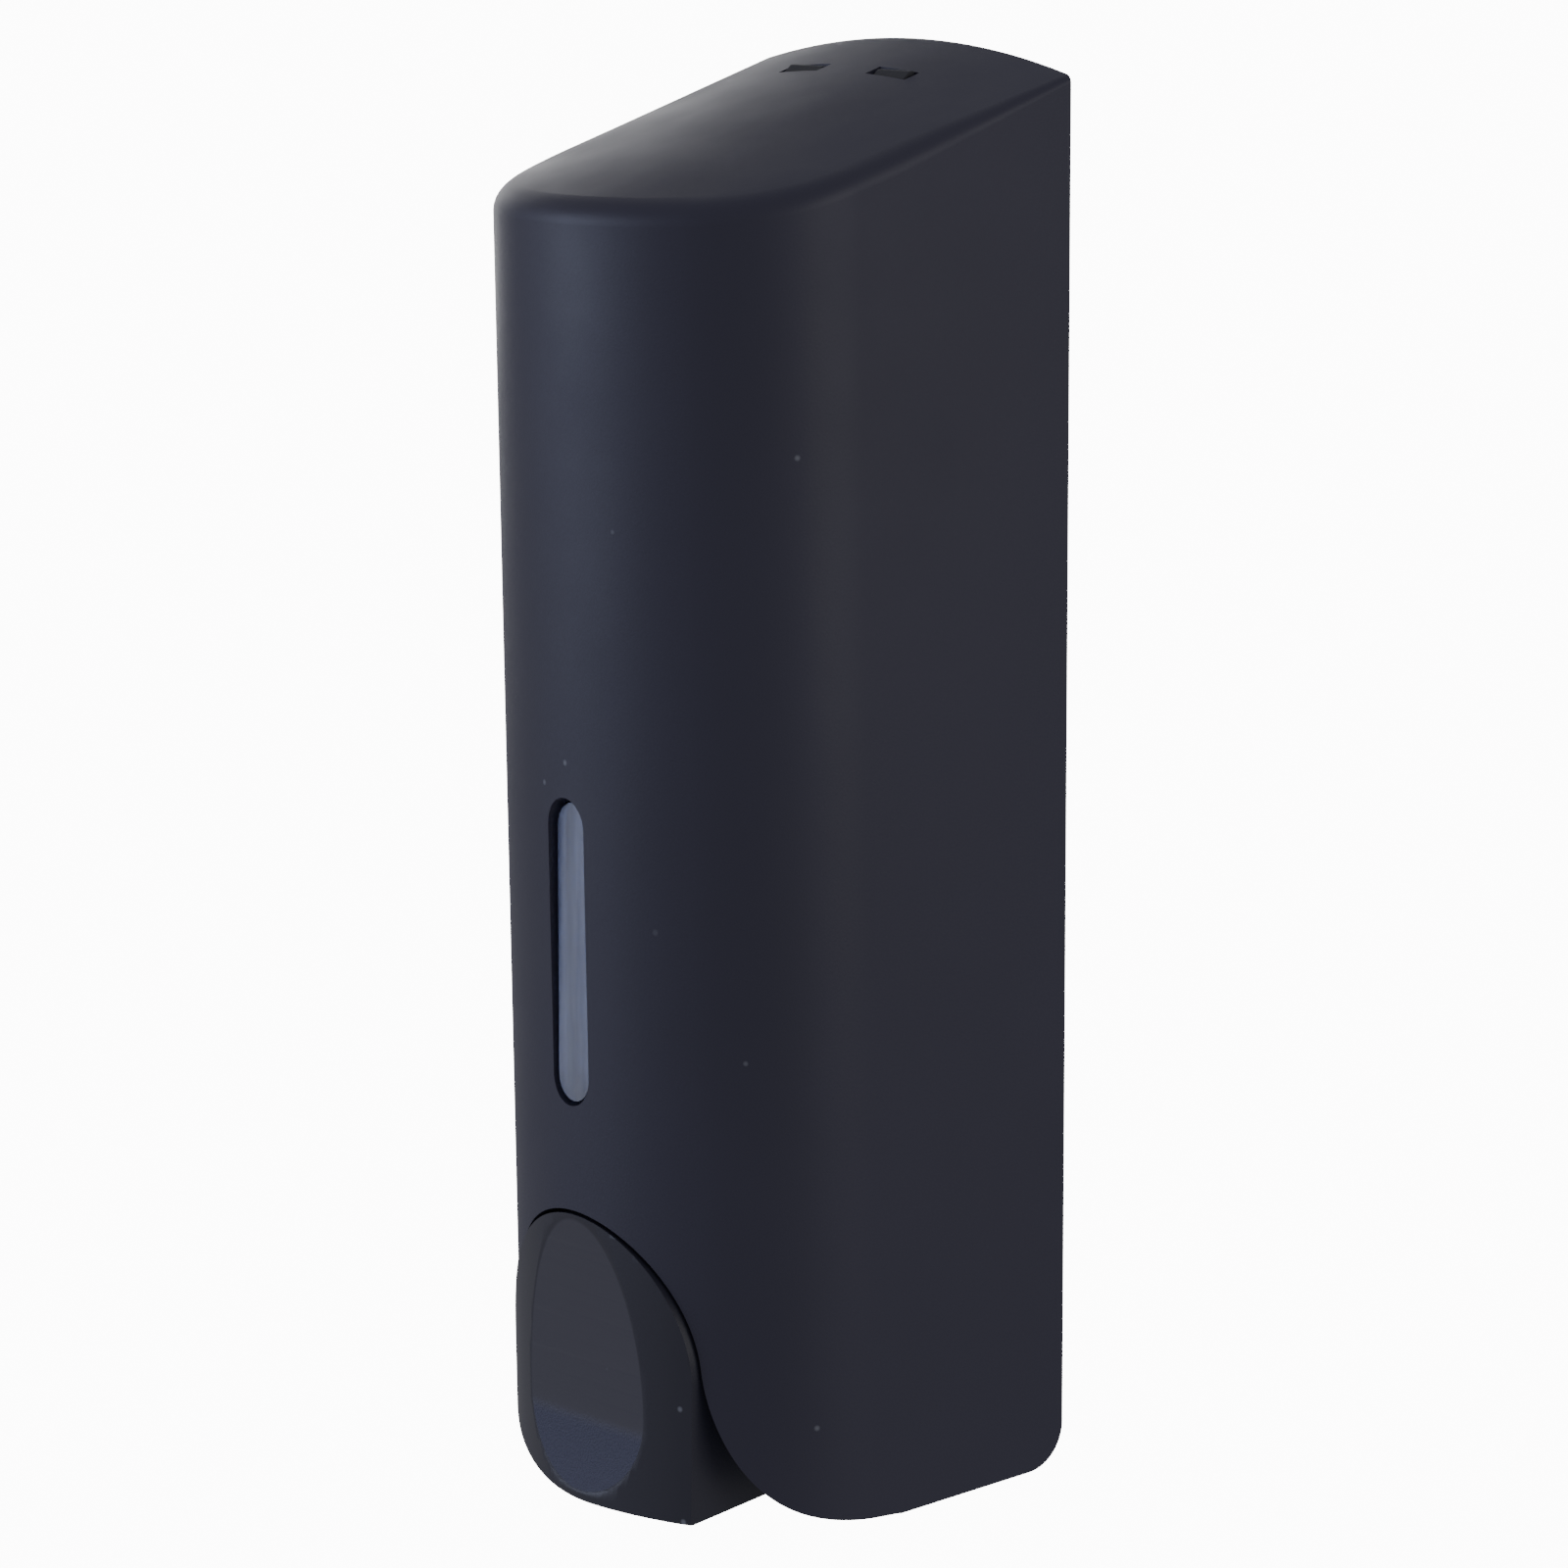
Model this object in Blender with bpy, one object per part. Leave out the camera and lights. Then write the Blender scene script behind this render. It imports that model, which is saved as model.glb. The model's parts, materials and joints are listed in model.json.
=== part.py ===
"""Wall mounted soap dispenser: a hinged cover over a back plate, a refillable reservoir and a
lever pump.

Heights are given from the lower back corner of the cover and depths are measured out from the
wall, which is the plane y = 0; the front of the dispenser faces -Y. A frame empty then lowers
everything, so that the world origin is the middle of the wall face of the back plate.
"""

import math

import bmesh
import bpy
from mathutils import Matrix, Vector

MM = 0.001

# Overall sizes
WIDTH = 72.0 * MM
DEPTH_AT_FOOT = 61.7 * MM
FRONT_LEAN = 0.021
SIDE_HEIGHT = 202.9 * MM
ROOF_CROWN = 4.2 * MM
ROOF_SLOPE = 0.328
ORIGIN_HEIGHT = 100.0 * MM

# Plan of the cover
SIDE_TAPER = 0.6 * MM
FRONT_RADIUS = 45.5 * MM
CORNER_RADIUS = 25.5 * MM
ROOF_EDGE_RADIUS = 3.0 * MM
ROOF_EDGE_RADIUS_AT_WALL = 1.0 * MM
ROOF_EDGE_BLEND = 30.0 * MM
MIN_EDGE_RADIUS = 0.3 * MM
COVER_WALL = 2.4 * MM

# Clearances
TOUCH_GAP = 0.3 * MM
PIN_CLEARANCE = 0.25 * MM
SLIDE_CLEARANCE = 0.3 * MM
COVER_TO_PLATE = 0.5 * MM
COVER_TO_RESERVOIR = 1.2 * MM
CUT_MARGIN = 2.0 * MM
OVERLAP = 0.6 * MM

# Foot of the cover and its hinge
FOOT_DROP = 0.3 * MM
FOOT_SLOPE = 0.1
HINGE_DEPTH = 7.0 * MM
HINGE_PIN_RADIUS = 1.5 * MM
HINGE_BOSS_RADIUS = 4.2 * MM
HINGE_BOSS_LENGTH = 2.6 * MM
HINGE_EAR_WIDTH = 3.0 * MM

# Opening for the lever
ARCH_RADIUS = 22.5 * MM
ARCH_CENTRE_HEIGHT = 17.2 * MM
FLARE_START_HEIGHT = 19.0 * MM
FLARE_FOOT_HEIGHT = -3.5 * MM
FLARE_OUT = 14.0 * MM
FLARE_EASE = 0.9 * MM
OPENING_BACK = 30.0 * MM

# Window slot
SLOT_RADIUS = 4.3 * MM
SLOT_LOW_CENTRE = 59.5 * MM
SLOT_HIGH_CENTRE = 96.0 * MM

# Latches
LATCH_SPACING = 20.6 * MM
LATCH_HOLE_WIDTH = 9.1 * MM
LATCH_HOLE_DEPTH = 2.8 * MM
LATCH_HOLE_BACK = 10.8 * MM
LATCH_SIDE_CLEARANCE = 0.7 * MM
LATCH_THICKNESS = 1.6 * MM
LATCH_ARM_DROP = 2.2 * MM
LATCH_TOP_LENGTH = 0.8 * MM
LATCH_NOSE_FALL = 1.2 * MM
LATCH_PIVOT_DEPTH = 3.4 * MM

# Back plate
PLATE_THICKNESS = 2.4 * MM
PLATE_RIM_DEPTH = 8.0 * MM
PLATE_RIM_WALL = 1.7 * MM
PLATE_FOOT_HEIGHT = 2.0 * MM
PLATE_TOP_CLEARANCE = 1.6 * MM
PLATE_CORNER_NOTCH = 16.0 * MM
SHELF_HEIGHT = 37.6 * MM
SHELF_THICKNESS = 2.4 * MM
SHELF_WIDTH = 54.0 * MM
SHELF_FRONT = 43.0 * MM
GUSSET_THICKNESS = 2.0 * MM
GUSSET_DROP = 22.0 * MM
GUSSET_REACH = 28.0 * MM
KEYHOLE_SPACING = 36.0 * MM
KEYHOLE_HEIGHT = 166.0 * MM
KEYHOLE_HEAD_RADIUS = 4.2 * MM
KEYHOLE_SHANK_RADIUS = 2.2 * MM
KEYHOLE_LENGTH = 8.0 * MM
LOWER_HOLE_HEIGHT = 24.0 * MM

# Reservoir and lid
RESERVOIR_WIDTH = 61.6 * MM
RESERVOIR_BACK = 9.0 * MM
RESERVOIR_WALL = 1.6 * MM
RESERVOIR_TOP = 175.0 * MM
RESERVOIR_CURVE_INSET = 5.0 * MM
RESERVOIR_BACK_RADIUS = 4.0 * MM
RIB_SIDE_CLEARANCE = 0.55 * MM
RIB_TOP_CLEARANCE = 0.8 * MM
RIB_RECESS_AT_FOOT = 0.6 * MM
NECK_RADIUS = 5.4 * MM
NECK_BORE = 3.8 * MM
LID_THICKNESS = 2.0 * MM
LID_SKIRT_DEPTH = 4.0 * MM
LID_SKIRT_WALL = 1.4 * MM
LID_GRIP = (16.0 * MM, 3.0 * MM, 2.2 * MM)
LID_GRIP_DEPTH = 16.0 * MM

# Pump
PUMP_HEIGHT = 10.0 * MM
PORT_DEPTH = 25.5 * MM
BARREL_BORE = 7.0 * MM
BARREL_WALL = 2.4 * MM
BARREL_BACK = 18.0 * MM
BARREL_BACK_WALL = 2.0 * MM
BARREL_FRONT = 41.0 * MM
TOWER_RADIUS = 8.6 * MM
SOCKET_BORE = 6.6 * MM
SOCKET_FLOOR = 28.0 * MM
VALVE_BORE = 3.0 * MM
VALVE_FLOOR = 19.3 * MM
PORT_RADIUS = 1.7 * MM
FLANGE = (44.0 * MM, 22.0 * MM, 2.5 * MM)
SCREW_SPACING = 34.0 * MM
SCREW_RADIUS = 1.4 * MM
SCREW_HEAD_RADIUS = 2.9 * MM
SCREW_HEAD_HEIGHT = 2.0 * MM
SCREW_RECESS = (3.2 * MM, 0.8 * MM, 1.1 * MM)
CAP_WALL = 1.6 * MM
CAP_FRONT_WALL = 2.0 * MM
CAP_LENGTH = 7.2 * MM
ROD_RADIUS = 3.4 * MM
ROD_TIP_DEPTH = 50.0 * MM
PISTON_CLEARANCE = 0.4 * MM
PISTON_LENGTH = 6.0 * MM
SEAL_WIDTH = 2.2 * MM
SEAL_DEPTH = 1.4 * MM
SEAL_CLEARANCE = 0.12 * MM
SPRING_WIRE = 0.45 * MM
SPRING_TURNS = 5.0
SEAT_THICKNESS = 2.0 * MM
BALL_RADIUS = 2.4 * MM
BALL_SPRING_WIRE = 0.2 * MM
BALL_SPRING_TURNS = 4.0
GASKET_RADIUS = 0.4 * MM
GASKET_HEIGHT = 33.4 * MM

# Outlet
SPOUT_RADIUS = 5.0 * MM
SPOUT_END = -3.4 * MM
SPOUT_SOCKET_RADIUS = 3.6 * MM
SPOUT_SOCKET_DEPTH = 2.2 * MM
NOZZLE_WALL = 1.1 * MM
NOZZLE_END = -6.4 * MM
NOZZLE_TOP = -0.4 * MM
NOZZLE_HOLE = 2.7 * MM
VALVE_FLANGE = 1.2 * MM
VALVE_BODY_RADIUS = 2.2 * MM
VALVE_END = -6.9 * MM
VALVE_LIP = 0.5 * MM

# Lever
LEVER_GAP = 0.6 * MM
LEVER_TAPER = 0.5 * MM
LEVER_FOOT = -3.6 * MM
LEVER_BACK = 43.5 * MM
LEVER_WALL = 2.2 * MM
LEVER_FRONT_WALL = 3.4 * MM
LEVER_PIN_DEPTH = 48.0 * MM
LEVER_PIN_HEIGHT = 32.0 * MM
LEVER_PIN_RADIUS = 1.5 * MM
LEVER_EAR = (3.0 * MM, 9.0 * MM, 8.6 * MM)
LEVER_EAR_OFFSET = 8.0 * MM
COVER_EAR = (3.0 * MM, 8.6 * MM, 8.4 * MM)
COVER_EAR_OFFSET = 21.8 * MM
PUSHER = (9.0 * MM, 9.0 * MM)
LEVER_FRONT_RADIUS = 57.0 * MM
LEVER_LEFT_RISE = 9.6 * MM
LEVER_LEFT_RUN = 24.0 * MM
LEVER_LIP_BACK = 54.5 * MM
LEVER_LIP_LEFT = -15.5 * MM
LEVER_FLANK_START = 56.8 * MM
LEVER_FLANK_RISE = 0.19
PAD_TOP = 38.6 * MM
PAD_DEEPEST = 11.0 * MM
PAD_FOOT = -2.3 * MM
PAD_DEPTH = 1.72 * MM
PAD_FULLNESS = 0.78
PAD_STEPS = 16

# Facets
CORNER_STEPS = 7
FRONT_STEPS = 4
ROOF_COLUMNS = 10
EDGE_STEPS = 3
ROUND = 32
SMALL_ROUND = 20
SHADE_ANGLE = math.radians(32.0)

# Finishes: colour, roughness, metallic
FINISHES = {
    "cover_black": ((0.030, 0.032, 0.050), 0.48, 0.0),
    "lever_black": ((0.028, 0.029, 0.042), 0.32, 0.0),
    "plate_black": ((0.020, 0.021, 0.028), 0.55, 0.0),
    "clear_tank": ((0.55, 0.62, 0.72), 0.12, 0.0),
    "pump_white": ((0.78, 0.78, 0.76), 0.38, 0.0),
    "piston_grey": ((0.32, 0.33, 0.36), 0.36, 0.0),
    "seal_rubber": ((0.02, 0.02, 0.02), 0.70, 0.0),
    "valve_silicone": ((0.80, 0.78, 0.74), 0.45, 0.0),
    "steel": ((0.62, 0.62, 0.64), 0.24, 1.0),
}

HALF = WIDTH / 2
HINGE_HEIGHT = -FOOT_DROP - FOOT_SLOPE * HINGE_DEPTH + HINGE_DEPTH * math.hypot(1.0, FOOT_SLOPE)
LEVER_RADIUS = ARCH_RADIUS - LEVER_GAP
RIB_FRONT = DEPTH_AT_FOOT + FRONT_LEAN * (SLOT_LOW_CENTRE - SLOT_RADIUS) - RIB_RECESS_AT_FOOT
RESERVOIR_FLOOR = SHELF_HEIGHT + SHELF_THICKNESS + TOUCH_GAP
BARREL_RADIUS = BARREL_BORE + BARREL_WALL


# ---------------------------------------------------------------- helpers


def clear_scene():
    for obj in list(bpy.data.objects):
        bpy.data.objects.remove(obj, do_unlink=True)


def make_collection(name):
    collection = bpy.data.collections.new(name)
    bpy.context.scene.collection.children.link(collection)
    return collection


def make_finishes():
    made = {}
    for name, (colour, roughness, metallic) in FINISHES.items():
        material = bpy.data.materials.new(name)
        material.use_nodes = True
        shader = material.node_tree.nodes["Principled BSDF"]
        shader.inputs["Base Color"].default_value = (*colour, 1.0)
        shader.inputs["Roughness"].default_value = roughness
        shader.inputs["Metallic"].default_value = metallic
        made[name] = material
    return made


def make_frame():
    frame = bpy.data.objects.new("wall_frame", None)
    frame.location = (0.0, 0.0, -ORIGIN_HEIGHT)
    bpy.context.scene.collection.objects.link(frame)
    return frame


def finish_object(name, mesh, collection):
    obj = bpy.data.objects.new(name, mesh)
    collection.objects.link(obj)
    obj.parent = FRAME
    return obj


def part(name, bm, finish, origin=(0.0, 0.0, 0.0)):
    """A sub-part from a bmesh in dispenser coordinates, with its own origin at a given point."""
    bmesh.ops.translate(bm, verts=bm.verts, vec=-Vector(origin))
    mesh = bpy.data.meshes.new(name)
    bm.to_mesh(mesh)
    bm.free()
    mesh.materials.append(MATERIALS[finish])
    mesh.shade_smooth()
    mesh.set_sharp_from_angle(angle=SHADE_ANGLE)
    obj = finish_object(name, mesh, PARTS)
    obj.location = origin
    return obj


def helper(name, bm):
    """A cutter or an added shape, left out of the finished dispenser."""
    mesh = bpy.data.meshes.new(name)
    bm.to_mesh(mesh)
    bm.free()
    obj = finish_object(name, mesh, CUTTERS)
    obj.hide_render = True
    obj.display_type = "WIRE"
    return obj


def use(target, operation, name, shape):
    modifier = target.modifiers.new(name, "BOOLEAN")
    modifier.operation = operation
    modifier.object = shape


def cut(target, name, bm):
    use(target, "DIFFERENCE", name, helper(f"{target.name}_{name}", bm))


def add(target, name, bm):
    use(target, "UNION", name, helper(f"{target.name}_{name}", bm))


def keep(target, name, bm):
    use(target, "INTERSECT", name, helper(f"{target.name}_{name}", bm))


def box(x, depth, z):
    """A block from three (low, high) spans; depth is measured out from the wall."""
    spans = (x, (-depth[1], -depth[0]), z)
    bm = bmesh.new()
    middle = Matrix.Translation([(low + high) / 2 for low, high in spans])
    size = Matrix.Diagonal([high - low for low, high in spans] + [1.0])
    bmesh.ops.create_cube(bm, size=1.0, matrix=middle @ size)
    return bm


def span(middle, length):
    return (middle - length / 2, middle + length / 2)


TURN = {"X": Matrix.Rotation(math.pi / 2, 4, "Y"), "Y": Matrix.Rotation(math.pi / 2, 4, "X"), "Z": Matrix()}


def rod(axis, centre, radius, steps=ROUND, end_radius=None):
    """A cylinder or cone along X, Y or Z. centre gives (x, depth, z) with a (low, high) span
    along the axis; end_radius is the radius at the high end."""
    low_end = [c[0] if isinstance(c, tuple) else c for c in centre]
    high_end = [c[1] if isinstance(c, tuple) else c for c in centre]
    low = Vector((low_end[0], -low_end[1], low_end[2]))
    high = Vector((high_end[0], -high_end[1], high_end[2]))
    bm = bmesh.new()
    bmesh.ops.create_cone(
        bm,
        cap_ends=True,
        segments=steps,
        radius1=radius,
        radius2=radius if end_radius is None else end_radius,
        depth=(high - low).length,
        matrix=Matrix.Translation((low + high) / 2) @ TURN[axis],
    )
    return bm


def prism(outline, axis, span_along):
    """A solid from an outline in XZ drawn along Y (span in depth), or in YZ drawn along X."""
    bm = bmesh.new()
    low, high = span_along
    if axis == "Y":
        points = [(p[0], -low, p[1]) for p in outline]
        step = Vector((0.0, low - high, 0.0))
    else:
        points = [(low, p[0], p[1]) for p in outline]
        step = Vector((high - low, 0.0, 0.0))
    face = bm.faces.new([bm.verts.new(p) for p in points])
    moved = bmesh.ops.extrude_face_region(bm, geom=[face])["geom"]
    bmesh.ops.translate(bm, verts=[v for v in moved if isinstance(v, bmesh.types.BMVert)], vec=step)
    bmesh.ops.recalc_face_normals(bm, faces=bm.faces)
    return bm


def arc(centre, radius, start, end, steps):
    """Points along an arc, its angles in degrees."""
    angles = [math.radians(start + (end - start) * i / steps) for i in range(steps + 1)]
    return [(centre[0] + radius * math.cos(a), centre[1] + radius * math.sin(a)) for a in angles]


def bezier(points, steps):
    """Points along a cubic curve, without its first point."""
    p0, p1, p2, p3 = [Vector(p) for p in points]
    made = []
    for i in range(1, steps + 1):
        t = i / steps
        s = 1.0 - t
        made.append(tuple(p0 * s**3 + p1 * 3 * s * s * t + p2 * 3 * s * t * t + p3 * t**3))
    return made


def coil(radius, wire, start, length, turns, axis):
    """The route of a compression spring along an axis from its start point."""
    steps = int(turns * 12)
    points = []
    for i in range(steps + 1):
        angle = math.tau * turns * i / steps
        along = wire + (length - 2 * wire) * i / steps
        across = Vector((radius * math.cos(angle), radius * math.sin(angle)))
        if axis == "Y":
            points.append(Vector(start) + Vector((across.x, along, across.y)))
        else:
            points.append(Vector(start) + Vector((across.x, across.y, along)))
    return points


def wire_part(name, points, radius, finish):
    curve = bpy.data.curves.new(name, "CURVE")
    curve.dimensions = "3D"
    curve.bevel_depth = radius
    curve.bevel_resolution = 2
    curve.use_fill_caps = True
    spline = curve.splines.new("POLY")
    spline.points.add(len(points) - 1)
    for point, place in zip(spline.points, points, strict=True):
        point.co = (*place, 1.0)
    curve.materials.append(MATERIALS[finish])
    return finish_object(name, curve, PARTS)


# ---------------------------------------------------------------- the cover's form


def front_depth(height):
    return DEPTH_AT_FOOT + FRONT_LEAN * height


def roof_height(x, depth):
    return SIDE_HEIGHT + ROOF_CROWN * (1.0 - (x / HALF) ** 2) - ROOF_SLOPE * depth


def half_plan(front, inset, back, radius):
    """Half of the plan outline as (x, depth), from the back round to the middle of the front.

    The side runs nearly straight to a corner arc, which meets the shallow front arc smoothly.
    """
    centre_x = HALF - SIDE_TAPER - CORNER_RADIUS
    front_centre = front - radius
    corner_centre = front_centre + math.sqrt((radius - CORNER_RADIUS) ** 2 - centre_x**2)
    meet = math.degrees(math.atan2(centre_x, corner_centre - front_centre))
    corner = arc((centre_x, corner_centre), CORNER_RADIUS - inset, 0.0, 90.0 - meet, CORNER_STEPS)
    face = arc((0.0, front_centre), radius - inset, 90.0 - meet, 90.0, FRONT_STEPS)
    return [(HALF - inset, back)] + corner + face[1:]


def inner_depth(x, height, inset):
    """How far out the inside of a wall reaches at a distance x from the middle."""
    front = front_depth(height)
    centre_x = HALF - SIDE_TAPER - CORNER_RADIUS
    front_centre = front - FRONT_RADIUS
    corner_centre = front_centre + math.sqrt((FRONT_RADIUS - CORNER_RADIUS) ** 2 - centre_x**2)
    on_front = front_centre + math.sqrt((FRONT_RADIUS - inset) ** 2 - x**2)
    on_corner = corner_centre + math.sqrt((CORNER_RADIUS - inset) ** 2 - (x - centre_x) ** 2)
    return min(on_front, on_corner)


def plan_loop(front, inset=0.0, back=0.0, radius=FRONT_RADIUS):
    """The whole plan outline as (x, depth), with columns across its back."""
    right = half_plan(front, inset, back, radius)
    left = [(-x, depth) for x, depth in reversed(right[:-1])]
    wide = right[0][0]
    columns = [(-wide + 2 * wide * i / ROOF_COLUMNS, back) for i in range(1, ROOF_COLUMNS)]
    return right + left + columns


def ring_at(bm, points):
    return [bm.verts.new((x, -depth, z)) for x, depth, z in points]


def bridge(bm, low, high):
    count = len(low)
    for i in range(count):
        j = (i + 1) % count
        bm.faces.new((low[i], low[j], high[j], high[i]))


def close_roof(bm, ring, half_count, roof_drop):
    """Strips across the roof between the matching points of its right and left sides."""
    row = [ring[0]] + list(reversed(ring[2 * half_count - 1 :])) + [ring[2 * half_count - 2]]
    for i in range(1, half_count - 1):
        right, left = ring[i], ring[2 * half_count - 2 - i]
        new_row = [right]
        for k in range(1, ROOF_COLUMNS):
            x = right.co.x + (left.co.x - right.co.x) * k / ROOF_COLUMNS
            z = roof_height(x, -right.co.y) - roof_drop
            new_row.append(bm.verts.new((x, right.co.y, z)))
        new_row.append(left)
        for k in range(ROOF_COLUMNS):
            bm.faces.new((row[k], row[k + 1], new_row[k + 1], new_row[k]))
        row = new_row
    tip = ring[half_count - 1]
    for k in range(ROOF_COLUMNS):
        bm.faces.new((row[k], row[k + 1], tip))


def edge_radius(depth):
    """The rounding of the roof's edge, which is small at the wall and grows forwards."""
    grown = min(1.0, depth / ROOF_EDGE_BLEND)
    return ROOF_EDGE_RADIUS_AT_WALL + (ROOF_EDGE_RADIUS - ROOF_EDGE_RADIUS_AT_WALL) * grown


def cover_form(inset, roof_drop, foot, back):
    """The closed form of the cover's outside, or of its hollow when it is inset and lowered."""
    bm = bmesh.new()
    count = len(plan_loop(DEPTH_AT_FOOT, inset, back))
    low = [(x, depth, foot) for x, depth in plan_loop(front_depth(foot), inset, back)]
    rings = [ring_at(bm, low)]
    for step in range(EDGE_STEPS + 1):
        angle = math.pi / 2 * step / EDGE_STEPS
        points = []
        for i in range(count):
            x, depth = low[i][:2]
            z = SIDE_HEIGHT
            for _ in range(4):
                radius = max(edge_radius(depth) - inset / 2, MIN_EDGE_RADIUS)
                shrink = radius * (1 - math.cos(angle))
                x, depth = plan_loop(front_depth(z), inset + shrink, back)[i]
                z = roof_height(x, depth) - roof_drop - radius * (1 - math.sin(angle))
            points.append((x, depth, z))
        rings.append(ring_at(bm, points))
    bm.faces.new(rings[0])
    for lower, upper in zip(rings[:-1], rings[1:], strict=True):
        bridge(bm, lower, upper)
    close_roof(bm, rings[-1], CORNER_STEPS + FRONT_STEPS + 2, roof_drop)
    bmesh.ops.recalc_face_normals(bm, faces=bm.faces)
    return bm


def column(loop_at, heights):
    """A closed column whose plan outline at each of two heights is given by loop_at."""
    bm = bmesh.new()
    rings = [ring_at(bm, [(x, depth, h) for x, depth in loop_at(h)]) for h in heights]
    bm.faces.new(rings[0])
    bridge(bm, rings[0], rings[1])
    bm.faces.new(rings[1])
    bmesh.ops.recalc_face_normals(bm, faces=bm.faces)
    return bm


def lever_column(inset, heights):
    """A column like the cover's, with the lever's flatter front."""
    return column(lambda h: plan_loop(front_depth(h), inset, 0.0, LEVER_FRONT_RADIUS), heights)


def lever_outline(inset):
    """The lever from the front: an arch with straight sides, swept up at its lower left."""
    radius = LEVER_RADIUS - inset
    top = arc((0.0, ARCH_CENTRE_HEIGHT), radius, 0.0, 180.0, 24)
    foot = LEVER_FOOT + inset
    end = LEVER_LEFT_RUN - LEVER_RADIUS
    handles = [
        (-radius, LEVER_FOOT + LEVER_LEFT_RISE),
        (-radius, foot + 0.6 * LEVER_LEFT_RISE),
        (end - 0.65 * LEVER_LEFT_RUN, foot + 0.02 * LEVER_LEFT_RISE),
        (end, foot),
    ]
    low = LEVER_FOOT - inset
    return [(radius - LEVER_TAPER, low)] + top + bezier(handles, 8) + [(end + TOUCH_GAP, low)]


def flank_outline():
    """Everything under the lever's foot, seen from the side; it rises towards the wall."""
    back = LEVER_BACK - CUT_MARGIN
    rise = (LEVER_FLANK_START - back) * LEVER_FLANK_RISE
    low = LEVER_FOOT - 2 * CUT_MARGIN
    start = -LEVER_FLANK_START
    return [(start, LEVER_FOOT), (-back, LEVER_FOOT + rise), (-back, low), (start, low)]


def pad_outline():
    """The thumb pad's scoop from the side: it deepens slowly downwards and curls out again."""
    points = []
    for i in range(PAD_STEPS + 1):
        z = PAD_TOP + (PAD_FOOT - PAD_TOP) * i / PAD_STEPS
        reach = PAD_TOP if z > PAD_DEEPEST else PAD_FOOT
        fade = math.cos(math.pi / 2 * (z - PAD_DEEPEST) / (reach - PAD_DEEPEST))
        depth = PAD_DEPTH * max(fade, 0.0) ** PAD_FULLNESS
        points.append((-front_depth(z) + depth, z))
    far = -2 * DEPTH_AT_FOOT
    return points + [(far, PAD_FOOT), (far, PAD_TOP)]


def opening_outline():
    """The lever's opening: an arch whose sides flare out to the foot of the cover."""
    start = math.degrees(math.asin((FLARE_START_HEIGHT - ARCH_CENTRE_HEIGHT) / ARCH_RADIUS))
    top = arc((0.0, ARCH_CENTRE_HEIGHT), ARCH_RADIUS, start, 90.0, 9)
    edge = (top[0][0], FLARE_START_HEIGHT)
    out = edge[0] + FLARE_OUT
    drop = FLARE_START_HEIGHT - FLARE_FOOT_HEIGHT
    handles = [
        edge,
        (edge[0] + FLARE_EASE, FLARE_START_HEIGHT - 0.4 * drop),
        (edge[0] + 0.5 * FLARE_OUT, FLARE_FOOT_HEIGHT + 0.07 * drop),
        (out, FLARE_FOOT_HEIGHT),
    ]
    flare = bezier(handles, 10)
    low = FLARE_FOOT_HEIGHT - 20.0 * MM
    right = [(out + CUT_MARGIN, low), (out + CUT_MARGIN, FLARE_FOOT_HEIGHT)] + flare[::-1] + top
    return right + [(-x, z) for x, z in reversed(right[:-1])]


def foot_outline():
    """Everything under the cover's foot, seen from the side, with its rounded back corner."""
    turn = math.degrees(math.atan(FOOT_SLOPE))
    corner = arc((-HINGE_DEPTH, HINGE_HEIGHT), HINGE_DEPTH, 0.0, -90.0 + turn, 8)
    front = 2 * DEPTH_AT_FOOT
    low = -FOOT_DROP - FOOT_SLOPE * front - CUT_MARGIN
    edge = -FOOT_DROP - FOOT_SLOPE * front
    back = CUT_MARGIN
    return [(back, low), (back, HINGE_HEIGHT)] + corner + [(-front, edge), (-front, low)]


def slot_outline(radius, low, high, steps=12):
    return arc((0.0, high), radius, 0.0, 180.0, steps) + arc((0.0, low), radius, 180.0, 360.0, steps)


def hinge_eye(x, radius, steps=SMALL_ROUND):
    return rod("X", (x, HINGE_DEPTH, HINGE_HEIGHT), radius, steps)


# ---------------------------------------------------------------- cover, pins and lever


def mirrored(x, side):
    return tuple(sorted((side * x[0], side * x[1])))


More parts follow.
